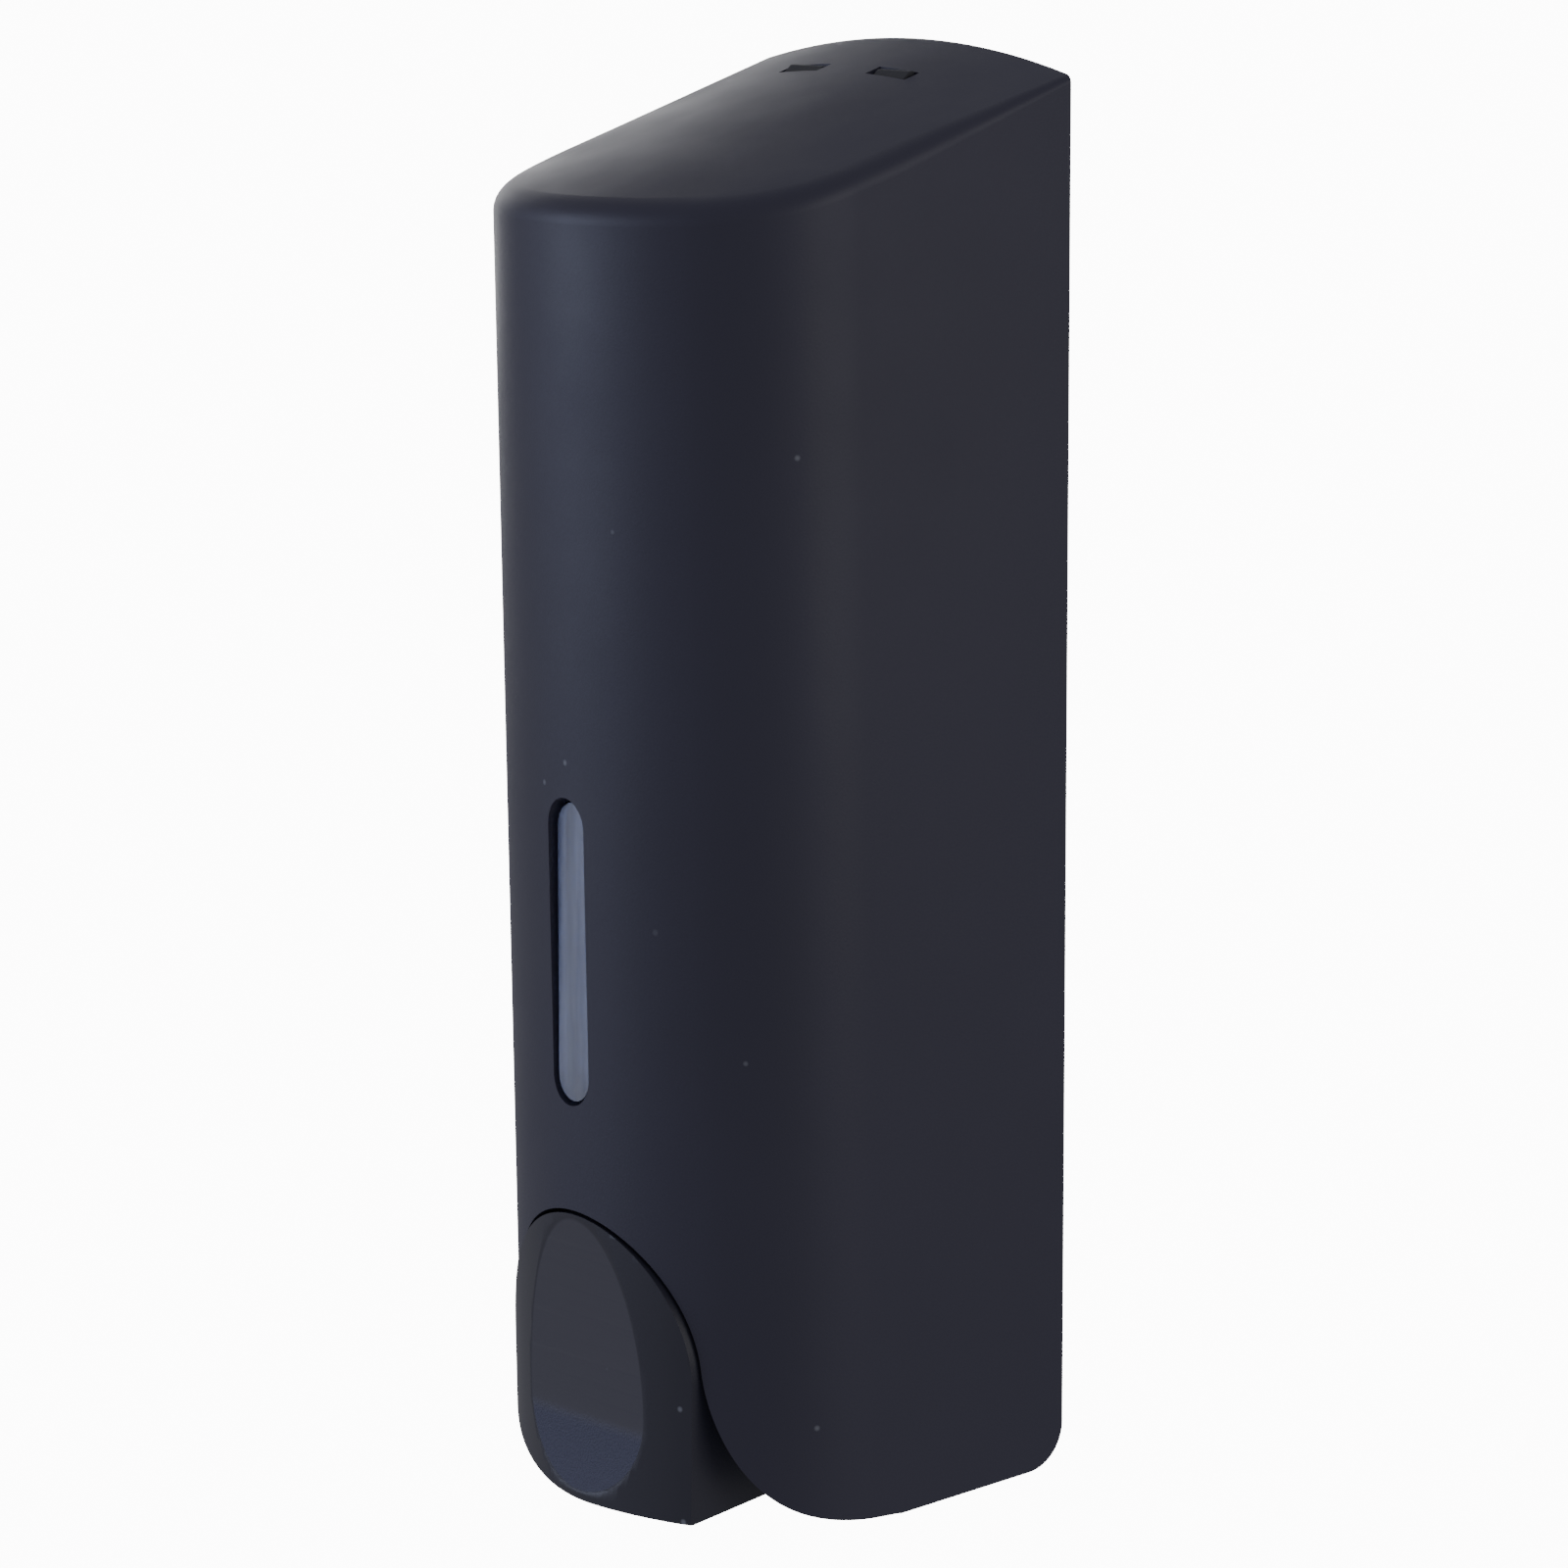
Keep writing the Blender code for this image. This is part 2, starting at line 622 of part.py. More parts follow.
def make_cover():
    foot = LEVER_FOOT - 4 * CUT_MARGIN
    outside = cover_form(0.0, 0.0, foot, 0.0)
    hinge_line = (0.0, -HINGE_DEPTH, HINGE_HEIGHT)
    cover = part("front_cover", outside, "cover_black", hinge_line)
    roof_wall = COVER_WALL * math.hypot(1.0, ROOF_SLOPE)
    hollow = cover_form(COVER_WALL, roof_wall, foot - CUT_MARGIN, -CUT_MARGIN)
    cut(cover, "hollow", hollow)
    cut(cover, "foot", prism(foot_outline(), "X", (-WIDTH, WIDTH)))
    cut(cover, "opening", prism(opening_outline(), "Y", (OPENING_BACK, 2 * DEPTH_AT_FOOT)))
    window = slot_outline(SLOT_RADIUS, SLOT_LOW_CENTRE, SLOT_HIGH_CENTRE)
    cut(cover, "window", prism(window, "Y", (OPENING_BACK, 2 * DEPTH_AT_FOOT)))
    for side in (-1, 1):
        label = "left" if side < 0 else "right"
        x = span(side * LATCH_SPACING / 2, LATCH_HOLE_WIDTH)
        depth = (LATCH_HOLE_BACK, LATCH_HOLE_BACK + LATCH_HOLE_DEPTH)
        cut(cover, f"latch_hole_{label}", box(x, depth, (SIDE_HEIGHT - 20 * MM, SIDE_HEIGHT + 20 * MM)))
        inner = HALF - COVER_WALL
        boss = mirrored((inner - HINGE_BOSS_LENGTH, inner + OVERLAP), side)
        add(cover, f"hinge_boss_{label}", hinge_eye(boss, HINGE_BOSS_RADIUS))
        bore = mirrored((inner - HINGE_BOSS_LENGTH - CUT_MARGIN, inner - TOUCH_GAP), side)
        cut(cover, f"hinge_bore_{label}", hinge_eye(bore, HINGE_PIN_RADIUS + PIN_CLEARANCE))
        width, length, height = COVER_EAR
        reach = inner_depth(COVER_EAR_OFFSET - width / 2, LEVER_PIN_HEIGHT, COVER_WALL)
        ear = box(
            span(side * COVER_EAR_OFFSET, width),
            (LEVER_PIN_DEPTH - length / 2, reach + OVERLAP),
            span(LEVER_PIN_HEIGHT, height),
        )
        add(cover, f"lever_ear_{label}", ear)
    cut(cover, "lever_bore", lever_eye(LEVER_PIN_RADIUS + PIN_CLEARANCE, 2 * COVER_EAR_OFFSET + 12 * MM))


def lever_eye(radius, length):
    return rod("X", (span(0.0, length), LEVER_PIN_DEPTH, LEVER_PIN_HEIGHT), radius, SMALL_ROUND)


def make_lever_pin():
    length = 2 * COVER_EAR_OFFSET + COVER_EAR[0] + 1.0 * MM
    origin = (0.0, -LEVER_PIN_DEPTH, LEVER_PIN_HEIGHT)
    part("lever_pin", lever_eye(LEVER_PIN_RADIUS, length), "steel", origin)


def make_lever():
    origin = (0.0, -LEVER_PIN_DEPTH, LEVER_PIN_HEIGHT)
    top = ARCH_CENTRE_HEIGHT + ARCH_RADIUS
    low = LEVER_FOOT - CUT_MARGIN
    lever = part("push_lever", lever_column(0.0, (low, top)), "lever_black", origin)
    keep(lever, "outline", prism(lever_outline(0.0), "Y", (LEVER_BACK, 2 * DEPTH_AT_FOOT)))
    hollow = helper("push_lever_hollow", lever_column(LEVER_FRONT_WALL, (low - CUT_MARGIN, top)))
    inner = lever_outline(LEVER_WALL)
    keep(hollow, "limit", prism(inner, "Y", (LEVER_BACK - CUT_MARGIN, 2 * DEPTH_AT_FOOT)))
    use(lever, "DIFFERENCE", "hollow", hollow)
    lip = (LEVER_LIP_LEFT, LEVER_LEFT_RUN - LEVER_RADIUS + CUT_MARGIN)
    room = box(lip, (LEVER_BACK - CUT_MARGIN, LEVER_LIP_BACK), (low, LEVER_LEFT_RISE))
    cut(lever, "pump_room", room)
    for side in (-1, 1):
        label = "left" if side < 0 else "right"
        width, length, height = LEVER_EAR
        reach = front_depth(LEVER_PIN_HEIGHT) - LEVER_FRONT_WALL
        ear = box(
            span(side * LEVER_EAR_OFFSET, width),
            (LEVER_PIN_DEPTH - length / 2, reach + OVERLAP),
            (LEVER_PIN_HEIGHT - height / 2, LEVER_PIN_HEIGHT + LEVER_PIN_RADIUS + 1.6 * MM),
        )
        add(lever, f"ear_{label}", ear)
    pusher_depth = (ROD_TIP_DEPTH + TOUCH_GAP, front_depth(PUMP_HEIGHT) - LEVER_FRONT_WALL + OVERLAP)
    add(lever, "pusher", box(span(0.0, PUSHER[0]), pusher_depth, span(PUMP_HEIGHT, PUSHER[1])))
    cut(lever, "bore", lever_eye(LEVER_PIN_RADIUS + PIN_CLEARANCE, 2 * LEVER_RADIUS))
    cut(lever, "flank", prism(flank_outline(), "X", (-WIDTH, WIDTH)))
    cut(lever, "thumb_pad", prism(pad_outline(), "X", (-WIDTH, WIDTH)))


def make_hinge_pins():
    inner = HALF - COVER_WALL
    ear = inner - HINGE_BOSS_LENGTH - 2 * TOUCH_GAP - HINGE_EAR_WIDTH
    for side, label in ((-1, "left"), (1, "right")):
        x = mirrored((ear - 0.8 * MM, inner - 2 * TOUCH_GAP), side)
        origin = (0.0, -HINGE_DEPTH, HINGE_HEIGHT)
        part(f"cover_pin_{label}", hinge_eye(x, HINGE_PIN_RADIUS), "steel", origin)


# ---------------------------------------------------------------- back plate and latches


def latch_arm_top():
    """Top of the latch arms, below the cover's roof over their noses."""
    depth = LATCH_HOLE_BACK + LATCH_HOLE_DEPTH
    return roof_height(LATCH_SPACING / 2, depth) - COVER_WALL - LATCH_ARM_DROP


def crowned_form(inset, back):
    """The cover's hollow, set in by a clearance and more, for what stands just inside it."""
    drop = COVER_WALL * math.hypot(1.0, ROOF_SLOPE) + PLATE_TOP_CLEARANCE + inset
    return cover_form(COVER_WALL + COVER_TO_PLATE + inset, drop, PLATE_FOOT_HEIGHT + inset, back)


def keyhole(x, height):
    """A screw head hole with a narrower slot above it."""
    low = arc((x, height), KEYHOLE_HEAD_RADIUS, 120.0, 420.0, 14)
    high = arc((x, height + KEYHOLE_LENGTH), KEYHOLE_SHANK_RADIUS, 0.0, 180.0, 8)
    return prism(low + high, "Y", (-CUT_MARGIN, PLATE_THICKNESS + CUT_MARGIN))


def gusset(x):
    wall = -PLATE_THICKNESS + OVERLAP
    under = SHELF_HEIGHT + OVERLAP
    outline = [
        (wall, under),
        (wall, SHELF_HEIGHT - GUSSET_DROP),
        (-GUSSET_REACH, SHELF_HEIGHT),
        (-GUSSET_REACH, under),
    ]
    return prism(outline, "X", x)


def make_back_plate():
    top = SIDE_HEIGHT + ROOF_CROWN
    plate = part("back_plate", box((-HALF, HALF), (0.0, PLATE_RIM_DEPTH), (0.0, top)), "plate_black")
    keep(plate, "outline", crowned_form(0.0, -CUT_MARGIN))
    cut(plate, "pocket", crowned_form(PLATE_RIM_WALL, PLATE_THICKNESS))
    shelf = box(
        span(0.0, SHELF_WIDTH),
        (PLATE_THICKNESS - OVERLAP, SHELF_FRONT),
        (SHELF_HEIGHT, SHELF_HEIGHT + SHELF_THICKNESS),
    )
    add(plate, "shelf", shelf)
    eye_inner = HALF - COVER_WALL - HINGE_BOSS_LENGTH - 2 * TOUCH_GAP - HINGE_EAR_WIDTH
    eye = (eye_inner, eye_inner + HINGE_EAR_WIDTH)
    notch_x = (eye[1] + TOUCH_GAP, HALF)
    for side, label in ((-1, "left"), (1, "right")):
        notch = box(
            mirrored(notch_x, side),
            (PLATE_THICKNESS, PLATE_RIM_DEPTH + CUT_MARGIN),
            (PLATE_FOOT_HEIGHT - CUT_MARGIN, PLATE_CORNER_NOTCH),
        )
        cut(plate, f"corner_notch_{label}", notch)
        gusset_x = (SHELF_WIDTH / 2 - GUSSET_THICKNESS - 0.5 * MM, SHELF_WIDTH / 2 - 0.5 * MM)
        add(plate, f"gusset_{label}", gusset(mirrored(gusset_x, side)))
        add(plate, f"hinge_ear_{label}", hinge_eye(mirrored(eye, side), HINGE_BOSS_RADIUS))
        web = box(
            mirrored(eye, side),
            (PLATE_THICKNESS - OVERLAP, HINGE_DEPTH),
            (HINGE_HEIGHT - HINGE_BOSS_RADIUS + TOUCH_GAP, HINGE_HEIGHT + HINGE_BOSS_RADIUS - TOUCH_GAP),
        )
        add(plate, f"hinge_web_{label}", web)
        bore_x = mirrored((eye[0] - CUT_MARGIN, eye[1] + CUT_MARGIN), side)
        cut(plate, f"hinge_bore_{label}", hinge_eye(bore_x, HINGE_PIN_RADIUS + PIN_CLEARANCE))
        latch_x = span(side * LATCH_SPACING / 2, LATCH_HOLE_WIDTH + 2 * TOUCH_GAP)
        latch_room = (latch_arm_top() - LATCH_THICKNESS - 3.0 * MM, top + CUT_MARGIN)
        latch_depth = (PLATE_THICKNESS, PLATE_RIM_DEPTH + CUT_MARGIN)
        cut(plate, f"latch_room_{label}", box(latch_x, latch_depth, latch_room))
        cut(plate, f"keyhole_{label}", keyhole(side * KEYHOLE_SPACING / 2, KEYHOLE_HEIGHT))
        centre = (side * SCREW_SPACING / 2, PORT_DEPTH, screw_hole_span())
        screw = rod("Z", centre, SCREW_RADIUS + TOUCH_GAP, SMALL_ROUND)
        cut(plate, f"screw_hole_{label}", screw)
    cut(plate, "lower_hole", keyhole(0.0, LOWER_HOLE_HEIGHT))
    neck_hole = (SHELF_HEIGHT - CUT_MARGIN, SHELF_HEIGHT + SHELF_THICKNESS + CUT_MARGIN)
    cut(plate, "neck_hole", rod("Z", (0.0, PORT_DEPTH, neck_hole), NECK_RADIUS + 1.2 * MM))


def screw_hole_span():
    return (SHELF_HEIGHT - CUT_MARGIN, SHELF_HEIGHT + SHELF_THICKNESS + CUT_MARGIN)


def make_latches():
    """Spring tongues whose noses stand in the holes of the cover's roof."""
    nose_back = LATCH_HOLE_BACK + TOUCH_GAP
    nose_front = LATCH_HOLE_BACK + LATCH_HOLE_DEPTH - 1.3 * TOUCH_GAP
    arm_top = latch_arm_top()
    nose_top = roof_height(LATCH_SPACING / 2, nose_back)
    outline = [
        (-PLATE_THICKNESS - TOUCH_GAP, arm_top - LATCH_THICKNESS),
        (-PLATE_THICKNESS - TOUCH_GAP, arm_top),
        (-nose_back, arm_top),
        (-nose_back, nose_top),
        (-nose_back - LATCH_TOP_LENGTH, nose_top),
        (-nose_front, nose_top - LATCH_NOSE_FALL),
        (-nose_front, arm_top - LATCH_THICKNESS),
    ]
    width = LATCH_HOLE_WIDTH - 2 * LATCH_SIDE_CLEARANCE
    origin = (0.0, -LATCH_PIVOT_DEPTH, arm_top - LATCH_THICKNESS / 2)
    for side, label in ((-1, "left"), (1, "right")):
        middle = side * LATCH_SPACING / 2
        tongue = prism(outline, "X", span(middle, width))
        part(f"latch_{label}", tongue, "plate_black", (middle, *origin[1:]))


# ---------------------------------------------------------------- reservoir and lid


def reservoir_front():
    return front_depth(RESERVOIR_FLOOR) - COVER_WALL - COVER_TO_RESERVOIR


def reservoir_plan(inset):
    """The reservoir's plan: flat sides and back, and the cover's front curves set inwards."""
    side = RESERVOIR_WIDTH / 2
    front = reservoir_front()
    back = RESERVOIR_BACK
    corner = CORNER_RADIUS - RESERVOIR_CURVE_INSET
    face = FRONT_RADIUS - RESERVOIR_CURVE_INSET
    centre_x = side - corner
    front_centre = front - face
    corner_centre = front_centre + math.sqrt((face - corner) ** 2 - centre_x**2)
    meet = math.degrees(math.atan2(centre_x, corner_centre - front_centre))
    bend = RESERVOIR_BACK_RADIUS
    right = arc((side - bend, back + bend), bend - inset, -90.0, 0.0, 4)
    right += arc((centre_x, corner_centre), corner - inset, 0.0, 90.0 - meet, CORNER_STEPS)
    right += arc((0.0, front_centre), face - inset, 90.0 - meet, 90.0, FRONT_STEPS)[1:]
    return right + [(-x, d) for x, d in reversed(right[:-1])]


def reservoir_column(inset, heights):
    return column(lambda h: reservoir_plan(inset), heights)


def make_reservoir():
    tank = part("reservoir", reservoir_column(0.0, (RESERVOIR_FLOOR, RESERVOIR_TOP)), "clear_tank")
    rib_radius = SLOT_RADIUS - RIB_SIDE_CLEARANCE
    rib_high = SLOT_HIGH_CENTRE + RIB_SIDE_CLEARANCE - RIB_TOP_CLEARANCE
    rib = slot_outline(rib_radius, SLOT_LOW_CENTRE, rib_high)
    add(tank, "sight_rib", prism(rib, "Y", (reservoir_front() - RESERVOIR_WALL, RIB_FRONT)))
    neck_foot = SOCKET_FLOOR + SEAT_THICKNESS + 3 * TOUCH_GAP
    neck = (neck_foot, RESERVOIR_FLOOR + OVERLAP)
    add(tank, "neck", rod("Z", (0.0, PORT_DEPTH, neck), NECK_RADIUS))
    inside = (RESERVOIR_FLOOR + RESERVOIR_WALL, RESERVOIR_TOP + CUT_MARGIN)
    cut(tank, "hollow", reservoir_column(RESERVOIR_WALL, inside))
    bore = (neck_foot - CUT_MARGIN, RESERVOIR_FLOOR + RESERVOIR_WALL + CUT_MARGIN)
    cut(tank, "neck_bore", rod("Z", (0.0, PORT_DEPTH, bore), NECK_BORE))


def make_lid():
    foot = RESERVOIR_TOP + TOUCH_GAP
    lid = part("reservoir_lid", reservoir_column(0.0, (foot, foot + LID_THICKNESS)), "clear_tank")
    outer = RESERVOIR_WALL + SLIDE_CLEARANCE
    skirt_span = (foot - LID_SKIRT_DEPTH, foot + OVERLAP)
    add(lid, "skirt", reservoir_column(outer, skirt_span))
    under = (foot - LID_SKIRT_DEPTH - CUT_MARGIN, foot)
    cut(lid, "underside", reservoir_column(outer + LID_SKIRT_WALL, under))
    width, length, height = LID_GRIP
    top = foot + LID_THICKNESS
    grip = box(span(0.0, width), span(LID_GRIP_DEPTH, length), (top - OVERLAP, top + height))
    add(lid, "grip", grip)


# ---------------------------------------------------------------- pump


def make_pump_body():
    barrel = rod("Y", (0.0, (BARREL_BACK, BARREL_FRONT), PUMP_HEIGHT), BARREL_RADIUS)
    body = part("pump_body", barrel, "pump_white")
    top = SHELF_HEIGHT - TOUCH_GAP
    add(body, "tower", rod("Z", (0.0, PORT_DEPTH, (PUMP_HEIGHT, top)), TOWER_RADIUS))
    width, length, height = FLANGE
    add(body, "flange", box(span(0.0, width), span(PORT_DEPTH, length), (top - height, top)))
    add(body, "spout", rod("Z", (0.0, PORT_DEPTH, (SPOUT_END, PUMP_HEIGHT)), SPOUT_RADIUS))
    bore = (BARREL_BACK + BARREL_BACK_WALL, BARREL_FRONT + CUT_MARGIN)
    cut(body, "bore", rod("Y", (0.0, bore, PUMP_HEIGHT), BARREL_BORE))
    cut(body, "socket", rod("Z", (0.0, PORT_DEPTH, (SOCKET_FLOOR, top + CUT_MARGIN)), SOCKET_BORE))
    valve_span = (VALVE_FLOOR, SOCKET_FLOOR + CUT_MARGIN)
    cut(body, "valve_bore", rod("Z", (0.0, PORT_DEPTH, valve_span), VALVE_BORE))
    port_span = (SPOUT_END - CUT_MARGIN, VALVE_FLOOR + CUT_MARGIN)
    cut(body, "ports", rod("Z", (0.0, PORT_DEPTH, port_span), PORT_RADIUS))
    socket = (SPOUT_END - CUT_MARGIN, SPOUT_END + SPOUT_SOCKET_DEPTH)
    cut(body, "spout_socket", rod("Z", (0.0, PORT_DEPTH, socket), SPOUT_SOCKET_RADIUS))
    for side, label in ((-1, "left"), (1, "right")):
        hole = (top - height - CUT_MARGIN, top + CUT_MARGIN)
        place = (side * SCREW_SPACING / 2, PORT_DEPTH, hole)
        cut(body, f"screw_hole_{label}", rod("Z", place, SCREW_RADIUS + TOUCH_GAP, SMALL_ROUND))


def make_pump_screws():
    flange_foot = SHELF_HEIGHT - TOUCH_GAP - FLANGE[2]
    head_top = flange_foot - TOUCH_GAP
    tip = SHELF_HEIGHT + SHELF_THICKNESS - TOUCH_GAP
    for side, label in ((-1, "left"), (1, "right")):
        x = side * SCREW_SPACING / 2
        head_span = (head_top - SCREW_HEAD_HEIGHT, head_top)
        head = rod("Z", (x, PORT_DEPTH, head_span), SCREW_HEAD_RADIUS, SMALL_ROUND)
        screw = part(f"pump_screw_{label}", head, "steel", (x, -PORT_DEPTH, head_top))
        add(screw, "shank", rod("Z", (x, PORT_DEPTH, (head_top - OVERLAP, tip)), SCREW_RADIUS, SMALL_ROUND))
        long, narrow, deep = SCREW_RECESS
        foot = head_top - SCREW_HEAD_HEIGHT
        for name, wide, tall in (("recess_x", long, narrow), ("recess_y", narrow, long)):
            cut(screw, name, box(span(x, wide), span(PORT_DEPTH, tall), (foot - CUT_MARGIN, foot + deep)))


def make_pump_cap():
    """The screwed ring that closes the barrel and guides the piston's rod."""
    inner = BARREL_RADIUS + TOUCH_GAP
    front = BARREL_FRONT + TOUCH_GAP + CAP_FRONT_WALL
    cap = part(
        "pump_cap",
        rod("Y", (0.0, (front - CAP_LENGTH, front), PUMP_HEIGHT), inner + CAP_WALL),
        "pump_white",
        (0.0, -front, PUMP_HEIGHT),
    )
    hollow = (front - CAP_LENGTH - CUT_MARGIN, front - CAP_FRONT_WALL)
    cut(cap, "hollow", rod("Y", (0.0, hollow, PUMP_HEIGHT), inner))
    through = (front - CAP_LENGTH, front + CUT_MARGIN)
    cut(cap, "guide", rod("Y", (0.0, through, PUMP_HEIGHT), ROD_RADIUS + SLIDE_CLEARANCE))


def piston_front():
    return BARREL_FRONT - TOUCH_GAP


def make_piston():
    front = piston_front()
    radius = BARREL_BORE - PISTON_CLEARANCE
    origin = (0.0, -ROD_TIP_DEPTH, PUMP_HEIGHT)
    head = rod("Y", (0.0, (front - PISTON_LENGTH, front), PUMP_HEIGHT), radius)
    piston = part("piston", head, "piston_grey", origin)
    dome = bmesh.new()
    place = Matrix.Translation((0.0, -ROD_TIP_DEPTH + ROD_RADIUS, PUMP_HEIGHT))
    at_tip = place @ TURN["Y"]
    bmesh.ops.create_uvsphere(
        dome, u_segments=SMALL_ROUND, v_segments=12, radius=ROD_RADIUS, matrix=at_tip
    )
    stem = (front - OVERLAP, ROD_TIP_DEPTH - ROD_RADIUS)
    add(piston, "stem", rod("Y", (0.0, stem, PUMP_HEIGHT), ROD_RADIUS, SMALL_ROUND))
    add(piston, "dome", dome)
    middle = front - PISTON_LENGTH / 2
    groove_span = span(middle, SEAL_WIDTH + 2 * TOUCH_GAP)
    groove = rod("Y", (0.0, groove_span, PUMP_HEIGHT), BARREL_BORE + CUT_MARGIN)
    core = rod("Y", (0.0, span(middle, SEAL_WIDTH + 2 * CUT_MARGIN), PUMP_HEIGHT), radius - SEAL_DEPTH)
    ring = helper("piston_groove", groove)
    cut(ring, "core", core)
    use(piston, "DIFFERENCE", "groove", ring)


def make_piston_seal():
    middle = piston_front() - PISTON_LENGTH / 2
    outer = BARREL_BORE - SEAL_CLEARANCE
    inner = BARREL_BORE - PISTON_CLEARANCE - SEAL_DEPTH + TOUCH_GAP
    seal = part(
        "piston_seal",
        rod("Y", (0.0, span(middle, SEAL_WIDTH), PUMP_HEIGHT), outer),
        "seal_rubber",
        (0.0, -middle, PUMP_HEIGHT),
    )
    cut(seal, "hole", rod("Y", (0.0, span(middle, SEAL_WIDTH + 2 * CUT_MARGIN), PUMP_HEIGHT), inner))


def make_pump_spring():
    back = BARREL_BACK + BARREL_BACK_WALL + TOUCH_GAP
    front = piston_front() - PISTON_LENGTH - TOUCH_GAP
    radius = BARREL_BORE - PISTON_CLEARANCE - 3 * SPRING_WIRE
    route = coil(radius, SPRING_WIRE, (0.0, -front, PUMP_HEIGHT), front - back, SPRING_TURNS, "Y")
    wire_part("pump_spring", route, SPRING_WIRE, "steel")


def make_inlet_valve():
    foot = SOCKET_FLOOR + TOUCH_GAP
    seat = part(
        "inlet_seat",
        rod("Z", (0.0, PORT_DEPTH, (foot, foot + SEAT_THICKNESS)), SOCKET_BORE - TOUCH_GAP),
        "piston_grey",
        (0.0, -PORT_DEPTH, foot),
    )
    hole = (foot - CUT_MARGIN, foot + SEAT_THICKNESS + CUT_MARGIN)
    cut(seat, "hole", rod("Z", (0.0, PORT_DEPTH, hole), PORT_RADIUS, SMALL_ROUND))
    ball_height = foot - math.sqrt(BALL_RADIUS**2 - PORT_RADIUS**2) - TOUCH_GAP / 2
    ball = bmesh.new()
    place = Matrix.Translation((0.0, -PORT_DEPTH, ball_height))
    bmesh.ops.create_uvsphere(ball, u_segments=SMALL_ROUND, v_segments=12, radius=BALL_RADIUS, matrix=place)
    part("inlet_ball", ball, "steel", (0.0, -PORT_DEPTH, ball_height))
    low = VALVE_FLOOR + TOUCH_GAP
    length = ball_height - BALL_RADIUS - TOUCH_GAP - low
    radius = BALL_RADIUS - BALL_SPRING_WIRE
    route = coil(radius, BALL_SPRING_WIRE, (0.0, -PORT_DEPTH, low), length, BALL_SPRING_TURNS, "Z")
    wire_part("inlet_spring", route, BALL_SPRING_WIRE, "steel")


def make_gasket():
    """The seal ring between the reservoir's neck and the pump's socket: a turned ring."""
    middle = (NECK_RADIUS + SOCKET_BORE) / 2
    points = arc((middle, 0.0), GASKET_RADIUS, 0.0, -360.0, 10)[:-1]
    bm = bmesh.new()
    loop = [bm.verts.new((x, 0.0, z)) for x, z in points]
    for i, vert in enumerate(loop):
        bm.edges.new((vert, loop[(i + 1) % len(loop)]))
    ring = bm.verts[:] + bm.edges[:]
    bmesh.ops.spin(bm, geom=ring, angle=math.tau, steps=ROUND, axis=(0, 0, 1), cent=(0, 0, 0))
    bmesh.ops.remove_doubles(bm, verts=bm.verts, dist=0.01 * MM)
    bmesh.ops.recalc_face_normals(bm, faces=bm.faces)
    bmesh.ops.translate(bm, verts=bm.verts, vec=(0.0, -PORT_DEPTH, GASKET_HEIGHT))
    part("reservoir_gasket", bm, "seal_rubber", (0.0, -PORT_DEPTH, GASKET_HEIGHT))


def make_nozzle():
    outer = SPOUT_RADIUS + TOUCH_GAP + NOZZLE_WALL
    cap = part(
        "nozzle_cap",
        rod("Z", (0.0, PORT_DEPTH, (NOZZLE_END, NOZZLE_TOP)), outer, ROUND),
        "piston_grey",
        (0.0, -PORT_DEPTH, NOZZLE_END),
    )
    floor = SPOUT_END - VALVE_FLANGE
    socket_span = (floor, NOZZLE_TOP + CUT_MARGIN)
    cut(cap, "socket", rod("Z", (0.0, PORT_DEPTH, socket_span), SPOUT_RADIUS + TOUCH_GAP))
    hole_span = (NOZZLE_END - CUT_MARGIN, floor + CUT_MARGIN)
    cut(cap, "hole", rod("Z", (0.0, PORT_DEPTH, hole_span), NOZZLE_HOLE))
    flange = (floor + TOUCH_GAP, SPOUT_END + SPOUT_SOCKET_DEPTH - TOUCH_GAP)
    flange_disc = rod("Z", (0.0, PORT_DEPTH, flange), SPOUT_SOCKET_RADIUS - TOUCH_GAP)
    valve = part("nozzle_valve", flange_disc, "valve_silicone", (0.0, -PORT_DEPTH, SPOUT_END))
    bill_span = (VALVE_END, flange[0] + OVERLAP)
    bill = rod("Z", (0.0, PORT_DEPTH, bill_span), VALVE_LIP, SMALL_ROUND, VALVE_BODY_RADIUS)
    add(valve, "bill", bill)
    mouth = (flange[1] - 1.4 * MM, flange[1] + CUT_MARGIN)
    cut(valve, "mouth", rod("Z", (0.0, PORT_DEPTH, mouth), PORT_RADIUS, SMALL_ROUND))


clear_scene()
MATERIALS = make_finishes()
PARTS = make_collection("wall_soap_dispenser")
CUTTERS = make_collection("cutters")
FRAME = make_frame()

make_back_plate()
make_latches()
make_hinge_pins()
make_reservoir()
make_lid()
make_gasket()
make_pump_body()
make_pump_screws()
make_pump_cap()
make_piston()
make_piston_seal()
make_pump_spring()
make_inlet_valve()
make_nozzle()
make_cover()
make_lever_pin()
make_lever()
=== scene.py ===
"""Looks of the wall mounted soap dispenser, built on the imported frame.

Heights are measured from the lower back corner of the cover and depths out from the wall, as in
the part's source; FRAME_DROP lowers both into the frame. The front faces -Y.
"""

import json
import math

